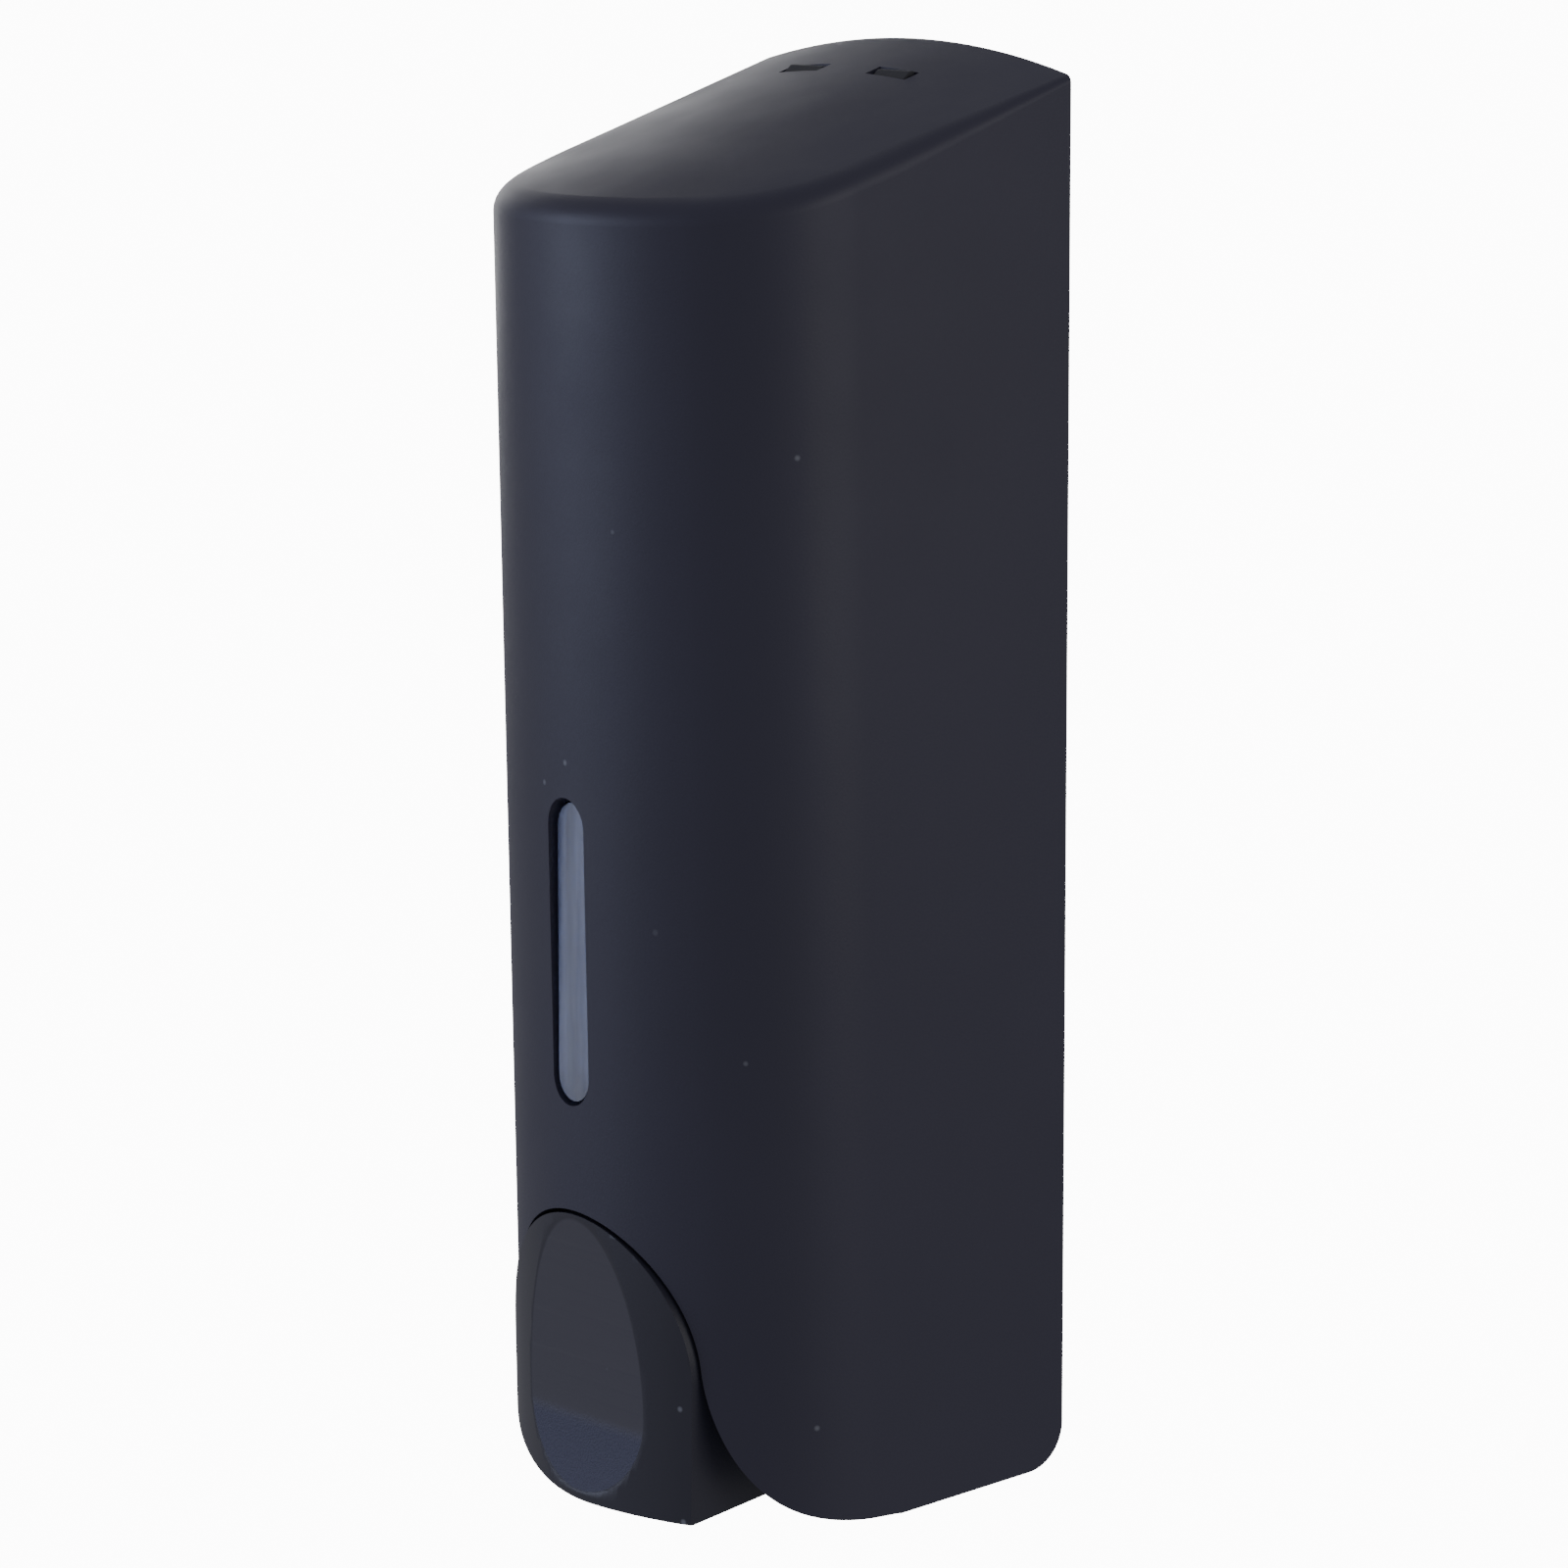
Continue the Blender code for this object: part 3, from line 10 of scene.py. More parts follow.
import bmesh
import bpy
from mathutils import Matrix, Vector

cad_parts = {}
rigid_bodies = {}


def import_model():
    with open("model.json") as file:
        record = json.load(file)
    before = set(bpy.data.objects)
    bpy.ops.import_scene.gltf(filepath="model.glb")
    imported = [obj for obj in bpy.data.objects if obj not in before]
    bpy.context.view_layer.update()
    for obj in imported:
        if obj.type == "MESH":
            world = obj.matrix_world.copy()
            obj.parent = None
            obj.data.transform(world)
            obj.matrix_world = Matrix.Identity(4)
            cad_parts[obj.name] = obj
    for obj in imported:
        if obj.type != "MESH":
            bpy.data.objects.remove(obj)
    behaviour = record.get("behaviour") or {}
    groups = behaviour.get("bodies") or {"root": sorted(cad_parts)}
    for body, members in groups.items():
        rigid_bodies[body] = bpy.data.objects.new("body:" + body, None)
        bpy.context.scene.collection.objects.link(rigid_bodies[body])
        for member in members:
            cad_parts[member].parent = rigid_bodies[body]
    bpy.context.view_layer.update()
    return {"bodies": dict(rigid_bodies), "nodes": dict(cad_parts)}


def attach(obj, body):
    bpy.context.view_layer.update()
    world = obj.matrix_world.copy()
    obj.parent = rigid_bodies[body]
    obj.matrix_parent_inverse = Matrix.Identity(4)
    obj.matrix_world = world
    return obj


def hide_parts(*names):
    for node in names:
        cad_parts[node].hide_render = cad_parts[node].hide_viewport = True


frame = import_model()

MM = 0.001
FRAME_DROP = 100.0 * MM

# Cover
WIDTH = 72.0 * MM
HALF = WIDTH / 2
DEPTH_AT_FOOT = 61.7 * MM
FRONT_LEAN = 0.021
SIDE_HEIGHT = 202.9 * MM
ROOF_CROWN = 4.2 * MM
ROOF_SLOPE = 0.328
SIDE_TAPER = 0.6 * MM
FRONT_RADIUS = 45.5 * MM
CORNER_RADIUS = 25.5 * MM
ROOF_EDGE_RADIUS = 3.0 * MM
ROOF_EDGE_RADIUS_AT_WALL = 1.0 * MM
ROOF_EDGE_BLEND = 30.0 * MM
MIN_EDGE_RADIUS = 0.3 * MM
COVER_WALL = 2.4 * MM
ROOF_WALL = COVER_WALL * math.hypot(1.0, ROOF_SLOPE)
MARGIN = 2.0 * MM
OVERLAP = 0.6 * MM
FAR = 2 * DEPTH_AT_FOOT

# Foot and hinge
FOOT_DROP = 0.3 * MM
FOOT_SLOPE = 0.1
HINGE_DEPTH = 7.0 * MM
HINGE_HEIGHT = -FOOT_DROP - FOOT_SLOPE * HINGE_DEPTH + HINGE_DEPTH * math.hypot(1.0, FOOT_SLOPE)
HINGE_BOSS_RADIUS = 4.2 * MM
HINGE_BOSS_LENGTH = 2.6 * MM
HINGE_BORE = 1.75 * MM
HINGE_BORE_FLOOR = 0.3 * MM

# Opening for the lever, window slot and latch holes
ARCH_RADIUS = 22.5 * MM
ARCH_CENTRE_HEIGHT = 17.2 * MM
FLARE_START_HEIGHT = 19.0 * MM
FLARE_FOOT_HEIGHT = -3.5 * MM
FLARE_OUT = 14.0 * MM
FLARE_EASE = 0.9 * MM
FLARE_DROP_HANDLE = 0.4
FLARE_REACH_HANDLE = 0.5
FLARE_FOOT_HANDLE = 0.07
OPENING_BELOW_FOOT = 20.0 * MM
OPENING_BACK = 30.0 * MM
SLOT_RADIUS = 4.3 * MM
SLOT_LOW = 59.5 * MM
SLOT_HIGH = 96.0 * MM
LATCH_SPACING = 20.6 * MM
LATCH_HOLE_WIDTH = 9.1 * MM
LATCH_HOLE_DEPTH = 2.8 * MM
LATCH_HOLE_BACK = 10.8 * MM
LATCH_HOLE_REACH = 20 * MM

# Lever
LEVER_RADIUS = ARCH_RADIUS - 0.6 * MM
LEVER_TAPER = 0.5 * MM
LEVER_FOOT = -3.6 * MM
LEVER_BACK = 43.5 * MM
LEVER_WALL = 2.2 * MM
LEVER_FRONT_WALL = 3.4 * MM
LEVER_FRONT_RADIUS = 57.0 * MM
LEVER_LEFT_RISE = 9.6 * MM
LEVER_LEFT_RUN = 24.0 * MM
LEVER_LEFT_DROP_HANDLE = 0.6
LEVER_LEFT_REACH_HANDLE = 0.65
LEVER_LEFT_FOOT_HANDLE = 0.02
LEVER_LEFT_END = 0.3 * MM
LEVER_LIP_BACK = 54.5 * MM
LEVER_LIP_LEFT = -15.5 * MM
LEVER_FLANK_START = 56.8 * MM
LEVER_FLANK_RISE = 0.19
PAD_TOP = 38.6 * MM
PAD_DEEPEST = 11.0 * MM
PAD_FOOT = -2.3 * MM
PAD_DEPTH = 1.72 * MM
PAD_FULLNESS = 0.78
PAD_HALF_WIDTH = 14.0 * MM
PIN_DEPTH = 48.0 * MM
PIN_HEIGHT = 32.0 * MM
PIN_BORE = 1.75 * MM
PIN_BORE_EXTRA = 12 * MM
EAR_WIDTH = 3.0 * MM
COVER_EAR_LENGTH = 8.6 * MM
COVER_EAR_HEIGHT = 8.4 * MM
COVER_EAR_OFFSET = 21.8 * MM
LEVER_EAR_LENGTH = 9.0 * MM
LEVER_EAR_FOOT = 27.7 * MM
LEVER_EAR_TOP = 35.1 * MM
LEVER_EAR_OFFSET = 8.0 * MM
PUSHER = 9.0 * MM
PUSHER_HEIGHT = 10.0 * MM
PUSHER_BACK = 50.3 * MM

# Fineness of the curved pieces
SIDE_STEPS = 9
CORNER_STEPS = 26
FRONT_STEPS = 16
ROOF_COLUMNS = 32
RING_SPACING = 6.0 * MM
EDGE_STEPS = 6
ARCH_STEPS = 72
FLARE_STEPS = 28
ROOF_SETTLING_PASSES = 4
BAR_SIDES = 48
EDGE_BEVEL = 0.22 * MM
SMOOTH_ANGLE = math.radians(32.0)
LEVER_EDGE_ANGLE = math.radians(24.0)
WELD_DISTANCE = 0.002 * MM
FLAT_ANGLE = math.radians(0.3)


# ---------------------------------------------------------------- working with meshes


def front_depth(height):
    return DEPTH_AT_FOOT + FRONT_LEAN * height


def roof_height(x, depth):
    return SIDE_HEIGHT + ROOF_CROWN * (1.0 - (x / HALF) ** 2) - ROOF_SLOPE * depth


def deselect():
    bpy.ops.object.select_all(action="DESELECT")


def choose(obj):
    deselect()
    obj.select_set(True)
    bpy.context.view_layer.objects.active = obj


def named(name):
    """The piece just added, named and with its place in its mesh."""
    obj = bpy.context.object
    obj.name = name
    obj.data.name = name
    choose(obj)
    bpy.ops.object.transform_apply(location=True, rotation=True, scale=True)
    return obj


def place(x, depth, height):
    return (x, -depth, height - FRAME_DROP)


def block(name, x, depth, height):
    """A cube between two values along each of width, depth and height."""
    deselect()
    middle = place((x[0] + x[1]) / 2, (depth[0] + depth[1]) / 2, (height[0] + height[1]) / 2)
    size = (x[1] - x[0], depth[1] - depth[0], height[1] - height[0])
    bpy.ops.mesh.primitive_cube_add(size=1.0, location=middle, scale=size)
    return named(name)


def round_bar(name, centre, radius, length, along="X", sides=BAR_SIDES):
    """A cylinder along the width, the depth or the height of the dispenser."""
    deselect()
    turn = {"X": (0, math.pi / 2, 0), "Y": (math.pi / 2, 0, 0), "Z": (0, 0, 0)}[along]
    bpy.ops.mesh.primitive_cylinder_add(
        vertices=sides, radius=radius, depth=length, location=place(*centre), rotation=turn
    )
    return named(name)


def pulled_outline(name, outline, along, span):
    """A solid from an outline of (x, height) pulled along the depth, or of (depth, height)
    pulled along the width."""
    low, high = span
    if along == "Y":
        points = [place(x, low, z) for x, z in outline]
        pull = (0.0, low - high, 0.0)
    else:
        points = [place(low, depth, z) for depth, z in outline]
        pull = (high - low, 0.0, 0.0)
    mesh = bpy.data.meshes.new(name)
    mesh.from_pydata(points, [], [range(len(points))])
    obj = bpy.data.objects.new(name, mesh)
    bpy.context.scene.collection.objects.link(obj)
    choose(obj)
    bpy.ops.object.mode_set(mode="EDIT")
    bpy.ops.mesh.select_all(action="SELECT")
    bpy.ops.mesh.extrude_region_move(TRANSFORM_OT_translate={"value": pull})
    bpy.ops.mesh.select_all(action="SELECT")
    bpy.ops.mesh.normals_make_consistent(inside=False)
    bpy.ops.object.mode_set(mode="OBJECT")
    return obj


def combine(obj, other, operation):
    """Cuts, joins or keeps what is shared, and drops the other piece."""
    modifier = obj.modifiers.new("shape", "BOOLEAN")
    modifier.operation = operation
    modifier.solver = "EXACT"
    modifier.object = other
    choose(obj)
    bpy.ops.object.modifier_apply(modifier=modifier.name)
    bpy.data.objects.remove(other, do_unlink=True)


def cut(obj, other):
    combine(obj, other, "DIFFERENCE")


def join(obj, other):
    combine(obj, other, "UNION")


def break_edges(obj, width, segments=2, angle=SMOOTH_ANGLE, merge_flats=True):
    """A small rounding along every sharp edge, then smooth shading."""
    choose(obj)
    bpy.ops.object.mode_set(mode="EDIT")
    bpy.ops.mesh.select_all(action="SELECT")
    bpy.ops.mesh.remove_doubles(threshold=WELD_DISTANCE)
    if merge_flats:
        bpy.ops.mesh.dissolve_limited(angle_limit=FLAT_ANGLE)
    bpy.ops.object.mode_set(mode="OBJECT")
    bevel = obj.modifiers.new("edges", "BEVEL")
    bevel.width = width
    bevel.segments = segments
    bevel.limit_method = "ANGLE"
    bevel.angle_limit = angle
    bevel.use_clamp_overlap = True
    bpy.ops.object.modifier_apply(modifier=bevel.name)
    bpy.ops.object.shade_smooth_by_angle(angle=SMOOTH_ANGLE)
    flats = obj.modifiers.new("flats", "WEIGHTED_NORMAL")
    flats.keep_sharp = True
    bpy.ops.object.modifier_apply(modifier=flats.name)


def arc(centre, radius, start, end, steps):
    points = []
    for i in range(steps + 1):
        angle = math.radians(start + (end - start) * i / steps)
        points.append((centre[0] + radius * math.cos(angle), centre[1] + radius * math.sin(angle)))
    return points


def swept(points, steps):
    """Points along a cubic curve, without its first point."""
    p0, p1, p2, p3 = [Vector(p) for p in points]
    made = []
    for i in range(1, steps + 1):
        t = i / steps
        s = 1.0 - t
        made.append(tuple(p0 * s**3 + p1 * 3 * s * s * t + p2 * 3 * s * t * t + p3 * t**3))
    return made


# ---------------------------------------------------------------- leaning shells


def half_plan(front, inset, back, radius):
    centre_x = HALF - SIDE_TAPER - CORNER_RADIUS
    front_centre = front - radius
    corner_centre = front_centre + math.sqrt((radius - CORNER_RADIUS) ** 2 - centre_x**2)
    meet = math.degrees(math.atan2(centre_x, corner_centre - front_centre))
    corner = arc((centre_x, corner_centre), CORNER_RADIUS - inset, 0.0, 90.0 - meet, CORNER_STEPS)
    face = arc((0.0, front_centre), radius - inset, 90.0 - meet, 90.0, FRONT_STEPS)
    start = (HALF - inset, back)
    side = []
    for i in range(SIDE_STEPS):
        t = i / SIDE_STEPS
        side.append((start[0] + (corner[0][0] - start[0]) * t, back + (corner[0][1] - back) * t))
    return side + corner + face[1:]


def plan_loop(front, inset=0.0, back=0.0, radius=FRONT_RADIUS):
    right = half_plan(front, inset, back, radius)
    left = [(-x, depth) for x, depth in reversed(right[:-1])]
    wide = right[0][0]
    columns = [(-wide + 2 * wide * i / ROOF_COLUMNS, back) for i in range(1, ROOF_COLUMNS)]
    return right + left + columns


def ring_at(bm, points):
    return [bm.verts.new(place(*p)) for p in points]


def bridge(bm, low, high):
    count = len(low)
    for i in range(count):
        j = (i + 1) % count
        bm.faces.new((low[i], low[j], high[j], high[i]))


def edge_radius(depth):
    grown = min(1.0, depth / ROOF_EDGE_BLEND)
    return ROOF_EDGE_RADIUS_AT_WALL + (ROOF_EDGE_RADIUS - ROOF_EDGE_RADIUS_AT_WALL) * grown


def close_roof(bm, ring, half_count, roof_drop):
    """Rows across the crowned roof, between the matching points of its two sides."""
    row = [ring[0]] + list(reversed(ring[2 * half_count - 1 :])) + [ring[2 * half_count - 2]]
    for i in range(1, half_count - 1):
        right, left = ring[i], ring[2 * half_count - 2 - i]
        new_row = [right]
        for k in range(1, ROOF_COLUMNS):
            x = right.co.x + (left.co.x - right.co.x) * k / ROOF_COLUMNS
            height = roof_height(x, -right.co.y) - roof_drop
            new_row.append(bm.verts.new(place(x, -right.co.y, height)))
        new_row.append(left)
        for k in range(ROOF_COLUMNS):
            bm.faces.new((row[k], row[k + 1], new_row[k + 1], new_row[k]))
        row = new_row
    tip = ring[half_count - 1]
    for k in range(ROOF_COLUMNS):
        bm.faces.new((row[k], row[k + 1], tip))


def as_object(name, bm):
    bmesh.ops.recalc_face_normals(bm, faces=bm.faces)
    mesh = bpy.data.meshes.new(name)
    bm.to_mesh(mesh)
    bm.free()
    obj = bpy.data.objects.new(name, mesh)
    bpy.context.scene.collection.objects.link(obj)
    return obj


def roofed_form(name, inset, roof_drop, foot, back):
    """The cover's outside, or its hollow when it is inset and lowered: a leaning plan whose top
    is the sloping, crowned roof with its rounded edge."""
    bm = bmesh.new()
    low = [(x, depth, foot) for x, depth in plan_loop(front_depth(foot), inset, back)]
    rings = [ring_at(bm, low)]
    height = foot + RING_SPACING
    while height < roof_height(HALF, front_depth(SIDE_HEIGHT)) - 2 * ROOF_EDGE_RADIUS - RING_SPACING:
        loop = plan_loop(front_depth(height), inset, back)
        rings.append(ring_at(bm, [(x, depth, height) for x, depth in loop]))
        height += RING_SPACING
    for step in range(EDGE_STEPS + 1):
        angle = math.pi / 2 * step / EDGE_STEPS
        points = []
        for i, start in enumerate(low):
            x, depth = start[:2]
            height = SIDE_HEIGHT
            for _ in range(ROOF_SETTLING_PASSES):
                radius = max(edge_radius(depth) - inset / 2, MIN_EDGE_RADIUS)
                shrink = radius * (1 - math.cos(angle))
                x, depth = plan_loop(front_depth(height), inset + shrink, back)[i]
                height = roof_height(x, depth) - roof_drop - radius * (1 - math.sin(angle))
            points.append((x, depth, height))
        rings.append(ring_at(bm, points))
    bm.faces.new(rings[0])
    for lower, upper in zip(rings[:-1], rings[1:], strict=True):
        bridge(bm, lower, upper)
    close_roof(bm, rings[-1], SIDE_STEPS + CORNER_STEPS + FRONT_STEPS + 1, roof_drop)
    return as_object(name, bm)


def lever_form(name, inset, heights):
    bm = bmesh.new()
    rings = []
    levels = math.ceil((heights[1] - heights[0]) / (RING_SPACING / 2))
    for level in range(levels + 1):
        height = heights[0] + (heights[1] - heights[0]) * level / levels
        loop = plan_loop(front_depth(height), inset, 0.0, LEVER_FRONT_RADIUS)
        rings.append(ring_at(bm, [(x, depth, height) for x, depth in loop]))
    bm.faces.new(rings[0])
    for lower, upper in zip(rings[:-1], rings[1:], strict=True):
        bridge(bm, lower, upper)
    bm.faces.new(rings[-1])
    return as_object(name, bm)


# ---------------------------------------------------------------- outlines


def opening_outline():
    start = math.degrees(math.asin((FLARE_START_HEIGHT - ARCH_CENTRE_HEIGHT) / ARCH_RADIUS))
    top = arc((0.0, ARCH_CENTRE_HEIGHT), ARCH_RADIUS, start, 90.0, ARCH_STEPS // 2)
    edge = (top[0][0], FLARE_START_HEIGHT)
    out = edge[0] + FLARE_OUT
    drop = FLARE_START_HEIGHT - FLARE_FOOT_HEIGHT
    flare = swept(
        [
            edge,
            (edge[0] + FLARE_EASE, FLARE_START_HEIGHT - FLARE_DROP_HANDLE * drop),
            (edge[0] + FLARE_REACH_HANDLE * FLARE_OUT, FLARE_FOOT_HEIGHT + FLARE_FOOT_HANDLE * drop),
            (out, FLARE_FOOT_HEIGHT),
        ],
        FLARE_STEPS,
    )
    low = FLARE_FOOT_HEIGHT - OPENING_BELOW_FOOT
    right = [(out + MARGIN, low), (out + MARGIN, FLARE_FOOT_HEIGHT)] + flare[::-1] + top
    return right + [(-x, z) for x, z in reversed(right[:-1])]


def foot_outline():
    """Everything under the cover, from the side, with the rounded corner at the hinge."""
    turn = math.degrees(math.atan(FOOT_SLOPE))
    corner = arc((HINGE_DEPTH, HINGE_HEIGHT), HINGE_DEPTH, 180.0, 270.0 - turn, 32)
    edge = -FOOT_DROP - FOOT_SLOPE * FAR
    low = edge - MARGIN
    return [(-MARGIN, low), (-MARGIN, HINGE_HEIGHT)] + corner + [(FAR, edge), (FAR, low)]


def slot_outline(radius, low, high):
    return arc((0.0, high), radius, 0.0, 180.0, 28) + arc((0.0, low), radius, 180.0, 360.0, 28)


def lever_outline(inset):
    radius = LEVER_RADIUS - inset
    top = arc((0.0, ARCH_CENTRE_HEIGHT), radius, 0.0, 180.0, ARCH_STEPS)
    foot = LEVER_FOOT + inset
    end = LEVER_LEFT_RUN - LEVER_RADIUS
    handles = [
        (-radius, LEVER_FOOT + LEVER_LEFT_RISE),
        (-radius, foot + LEVER_LEFT_DROP_HANDLE * LEVER_LEFT_RISE),
        (
            end - LEVER_LEFT_REACH_HANDLE * LEVER_LEFT_RUN,
            foot + LEVER_LEFT_FOOT_HANDLE * LEVER_LEFT_RISE,
        ),
        (end, foot),
    ]
    low = LEVER_FOOT - inset
    left = swept(handles, FLARE_STEPS) + [(end + LEVER_LEFT_END, low)]
    return [(radius - LEVER_TAPER, low)] + top + left


def flank_outline():
    back = LEVER_BACK - MARGIN
    rise = (LEVER_FLANK_START - back) * LEVER_FLANK_RISE
    low = LEVER_FOOT - 2 * MARGIN
    start = LEVER_FLANK_START
    return [(start, LEVER_FOOT), (back, LEVER_FOOT + rise), (back, low), (start, low)]


def pad_depth(height):
    reach = PAD_TOP if height > PAD_DEEPEST else PAD_FOOT
    fade = math.cos(math.pi / 2 * (height - PAD_DEEPEST) / (reach - PAD_DEEPEST))
    return PAD_DEPTH * max(fade, 0.0) ** PAD_FULLNESS


def pad_outline(steps=64):
    """The thumb pad's scoop from the side: it deepens slowly downwards, then curls out again."""
    points = []
    for i in range(steps + 1):
        height = PAD_TOP + (PAD_FOOT - PAD_TOP) * i / steps
        points.append((front_depth(height) - pad_depth(height), height))
    return points + [(FAR, PAD_FOOT), (FAR, PAD_TOP)]


# ---------------------------------------------------------------- finishes


class Finish:
    """A plastic, metal or rubber with its own fine surface, at real scale."""

    def __init__(self, name, colour, roughness, metallic=0.0):
        self.material = bpy.data.materials.new(name)
        self.material.use_nodes = True
        self.tree = self.material.node_tree
        self.shader = self.tree.nodes["Principled BSDF"]
        self.shader.inputs["Base Color"].default_value = (*colour, 1.0)
        self.shader.inputs["Roughness"].default_value = roughness
        self.shader.inputs["Metallic"].default_value = metallic
        self.where = self.tree.nodes.new("ShaderNodeTexCoord").outputs["Object"]

    def add(self, kind, **settings):
        node = self.tree.nodes.new(kind)
        for key, value in settings.items():
            setattr(node, key, value)
        return node

    def link(self, output, target):
        self.tree.links.new(output, target)

    def noise(self, size, detail=3.0):
        """Soft random values whose blotches are about size across."""
        node = self.add("ShaderNodeTexNoise")
        node.inputs["Scale"].default_value = 1.0 / size
        node.inputs["Detail"].default_value = detail
        self.link(self.where, node.inputs["Vector"])
        return node.outputs["Fac"]

    def ranged(self, value, low, high, to_low, to_high, smooth=False):
        node = self.add("ShaderNodeMapRange")
        if smooth:
            node.interpolation_type = "SMOOTHSTEP"
        for socket, number in zip(
            ("From Min", "From Max", "To Min", "To Max"), (low, high, to_low, to_high), strict=True
        ):
            node.inputs[socket].default_value = number
        self.link(value, node.inputs["Value"])
        return node.outputs["Result"]

    def maths(self, first, second, operation="ADD"):
        """Two values combined, the second of which may be a plain number."""
        node = self.add("ShaderNodeMath", operation=operation)
        self.link(first, node.inputs[0])
        if isinstance(second, float):
            node.inputs[1].default_value = second
        else:
            self.link(second, node.inputs[1])
        return node.outputs[0]

    def mixed(self, factor, first, second):
        """A colour between two, each a colour or another node's output."""
        node = self.add("ShaderNodeMix", data_type="RGBA")
        self.link(factor, node.inputs["Factor"])
        for socket, value in ((node.inputs[6], first), (node.inputs[7], second)):
            if isinstance(value, tuple):
                socket.default_value = (*value, 1.0)
            else:
                self.link(value, socket)
        return node.outputs[2]

    def uneven_gloss(self, size, low, high):
        """Roughness that drifts between two values over blotches of a given size."""
        self.link(self.ranged(self.noise(size), 0.3, 0.7, low, high), self.shader.inputs["Roughness"])

    def uneven_colour(self, size, first, second):
        colour = self.mixed(self.ranged(self.noise(size), 0.35, 0.65, 0.0, 1.0), first, second)
        self.link(colour, self.shader.inputs["Base Color"])
        return colour

    def grain(self, size, depth, detail=2.0, strength=1.0):
        bump = self.add("ShaderNodeBump")
        bump.inputs["Strength"].default_value = strength
        bump.inputs["Distance"].default_value = depth
        self.link(self.noise(size, detail), bump.inputs["Height"])
        self.link(bump.outputs["Normal"], self.shader.inputs["Normal"])
        return bump

    def specks(self, spacing, share, colour, dust):
        """Sparse pale dust: a few of the cells of a fine pattern hold a small speck."""
        cells = self.add("ShaderNodeTexVoronoi")
        cells.inputs["Scale"].default_value = 1.0 / spacing
        self.link(self.where, cells.inputs["Vector"])
        near = self.ranged(cells.outputs["Distance"], 0.05, 0.11, 1.0, 0.0)
        split = self.add("ShaderNodeSeparateColor")
        self.link(cells.outputs["Color"], split.inputs["Color"])
        chosen = self.ranged(split.outputs["Red"], share, share + 0.01, 1.0, 0.0)
        amount = self.maths(near, chosen, "MULTIPLY")
        self.link(self.mixed(amount, colour, dust), self.shader.inputs["Base Color"])


def heights_of(finish):
    """The height above the cover's foot, in metres, as a value."""
    split = finish.add("ShaderNodeSeparateXYZ")
    finish.link(finish.where, split.inputs["Vector"])
    return finish.maths(split.outputs["Z"], FRAME_DROP)


def satin_cover():
    finish = Finish("satin_cover_plastic", (0.031, 0.030, 0.056), 0.48)
    colour = finish.uneven_colour(40 * MM, (0.0300, 0.0290, 0.0540), (0.0325, 0.0315, 0.0585))
    finish.specks(5.5 * MM, 0.10, colour, (0.17, 0.18, 0.22))
    finish.uneven_gloss(18 * MM, 0.42, 0.50)
    finish.grain(0.35 * MM, 0.012 * MM)
    finish.shader.inputs["Specular IOR Level"].default_value = 0.5
    return finish.material


def oval_to(finish, height, across, end):
    """One inside half an oval that is PAD_HALF_WIDTH wide at the pad's deepest and closes at
    end; on the other side of the deepest it is one between straight sides."""
    rise = finish.maths(height, -PAD_DEEPEST)
    way = 1.0 / (end - PAD_DEEPEST)
    along = finish.maths(finish.maths(rise, way, "MULTIPLY"), 0.0, "MAXIMUM")
    total = finish.maths(finish.maths(along, along, "MULTIPLY"), across)
    return finish.ranged(total, 0.96, 1.0, 1.0, 0.0, smooth=True)


def lever_plastic():
    """Semi-gloss plastic with a painted highlight: the thumb pad is painted paler, and the lower part of
    the pad, which has a fine grain, is painted lighter and bluer as light falling from above.
    """
    finish = Finish("lever_plastic", (0.026, 0.027, 0.042), 0.34)
    height = heights_of(finish)
    split = finish.add("ShaderNodeSeparateXYZ")
    finish.link(finish.where, split.inputs["Vector"])
    # The pad has a fine grain below this height, and there it is also painted lighter as a painted
    # highlight.
    low_part = finish.ranged(height, 7.0 * MM, 9.5 * MM, 1.0, 0.0, smooth=True)
    across = finish.maths(split.outputs["X"], split.outputs["X"], "MULTIPLY")
    across = finish.maths(across, 1.0 / PAD_HALF_WIDTH**2, "MULTIPLY")
    scoop = finish.maths(oval_to(finish, height, across, PAD_TOP), low_part, "MAXIMUM")
    lower = oval_to(finish, height, across, PAD_FOOT)
    scoop = finish.maths(scoop, lower, "MINIMUM")
    scoop = finish.maths(scoop, finish.ranged(height, PAD_FOOT, PAD_FOOT + 0.3 * MM, 0.0, 1.0), "MULTIPLY")
    grain_and_painted_sheen = finish.maths(low_part, scoop, "MULTIPLY")
    # Painted highlight: the thumb pad is painted paler than the rest of the lever.
    plain = finish.mixed(scoop, (0.026, 0.026, 0.042), (0.056, 0.055, 0.076))
    # Painted highlight: the lower part of the pad is painted lighter and bluer, as light from above; its
    # grain and roughness are real.
    colour = finish.mixed(grain_and_painted_sheen, plain, (0.058, 0.061, 0.105))
    finish.specks(5.0 * MM, 0.12, colour, (0.16, 0.17, 0.21))
    finish.link(finish.ranged(grain_and_painted_sheen, 0.0, 1.0, 0.34, 0.62), finish.shader.inputs["Roughness"])
    fine = finish.noise(0.32 * MM, 1.0)
    relief = finish.maths(finish.ranged(fine, 0.35, 0.65, 0.0, 1.0), grain_and_painted_sheen, "MULTIPLY")
    bump = finish.add("ShaderNodeBump")
    bump.inputs["Distance"].default_value = 0.05 * MM
    finish.link(relief, bump.inputs["Height"])
    finish.link(bump.outputs["Normal"], finish.shader.inputs["Normal"])
    return finish.material


def plate_plastic():
    finish = Finish("plate_plastic", (0.020, 0.021, 0.028), 0.55)
    colour = finish.uneven_colour(30 * MM, (0.019, 0.020, 0.027), (0.023, 0.024, 0.031))
    finish.specks(6 * MM, 0.08, colour, (0.12, 0.12, 0.14))
    finish.uneven_gloss(12 * MM, 0.50, 0.62)
    finish.grain(0.5 * MM, 0.03 * MM)
    return finish.material


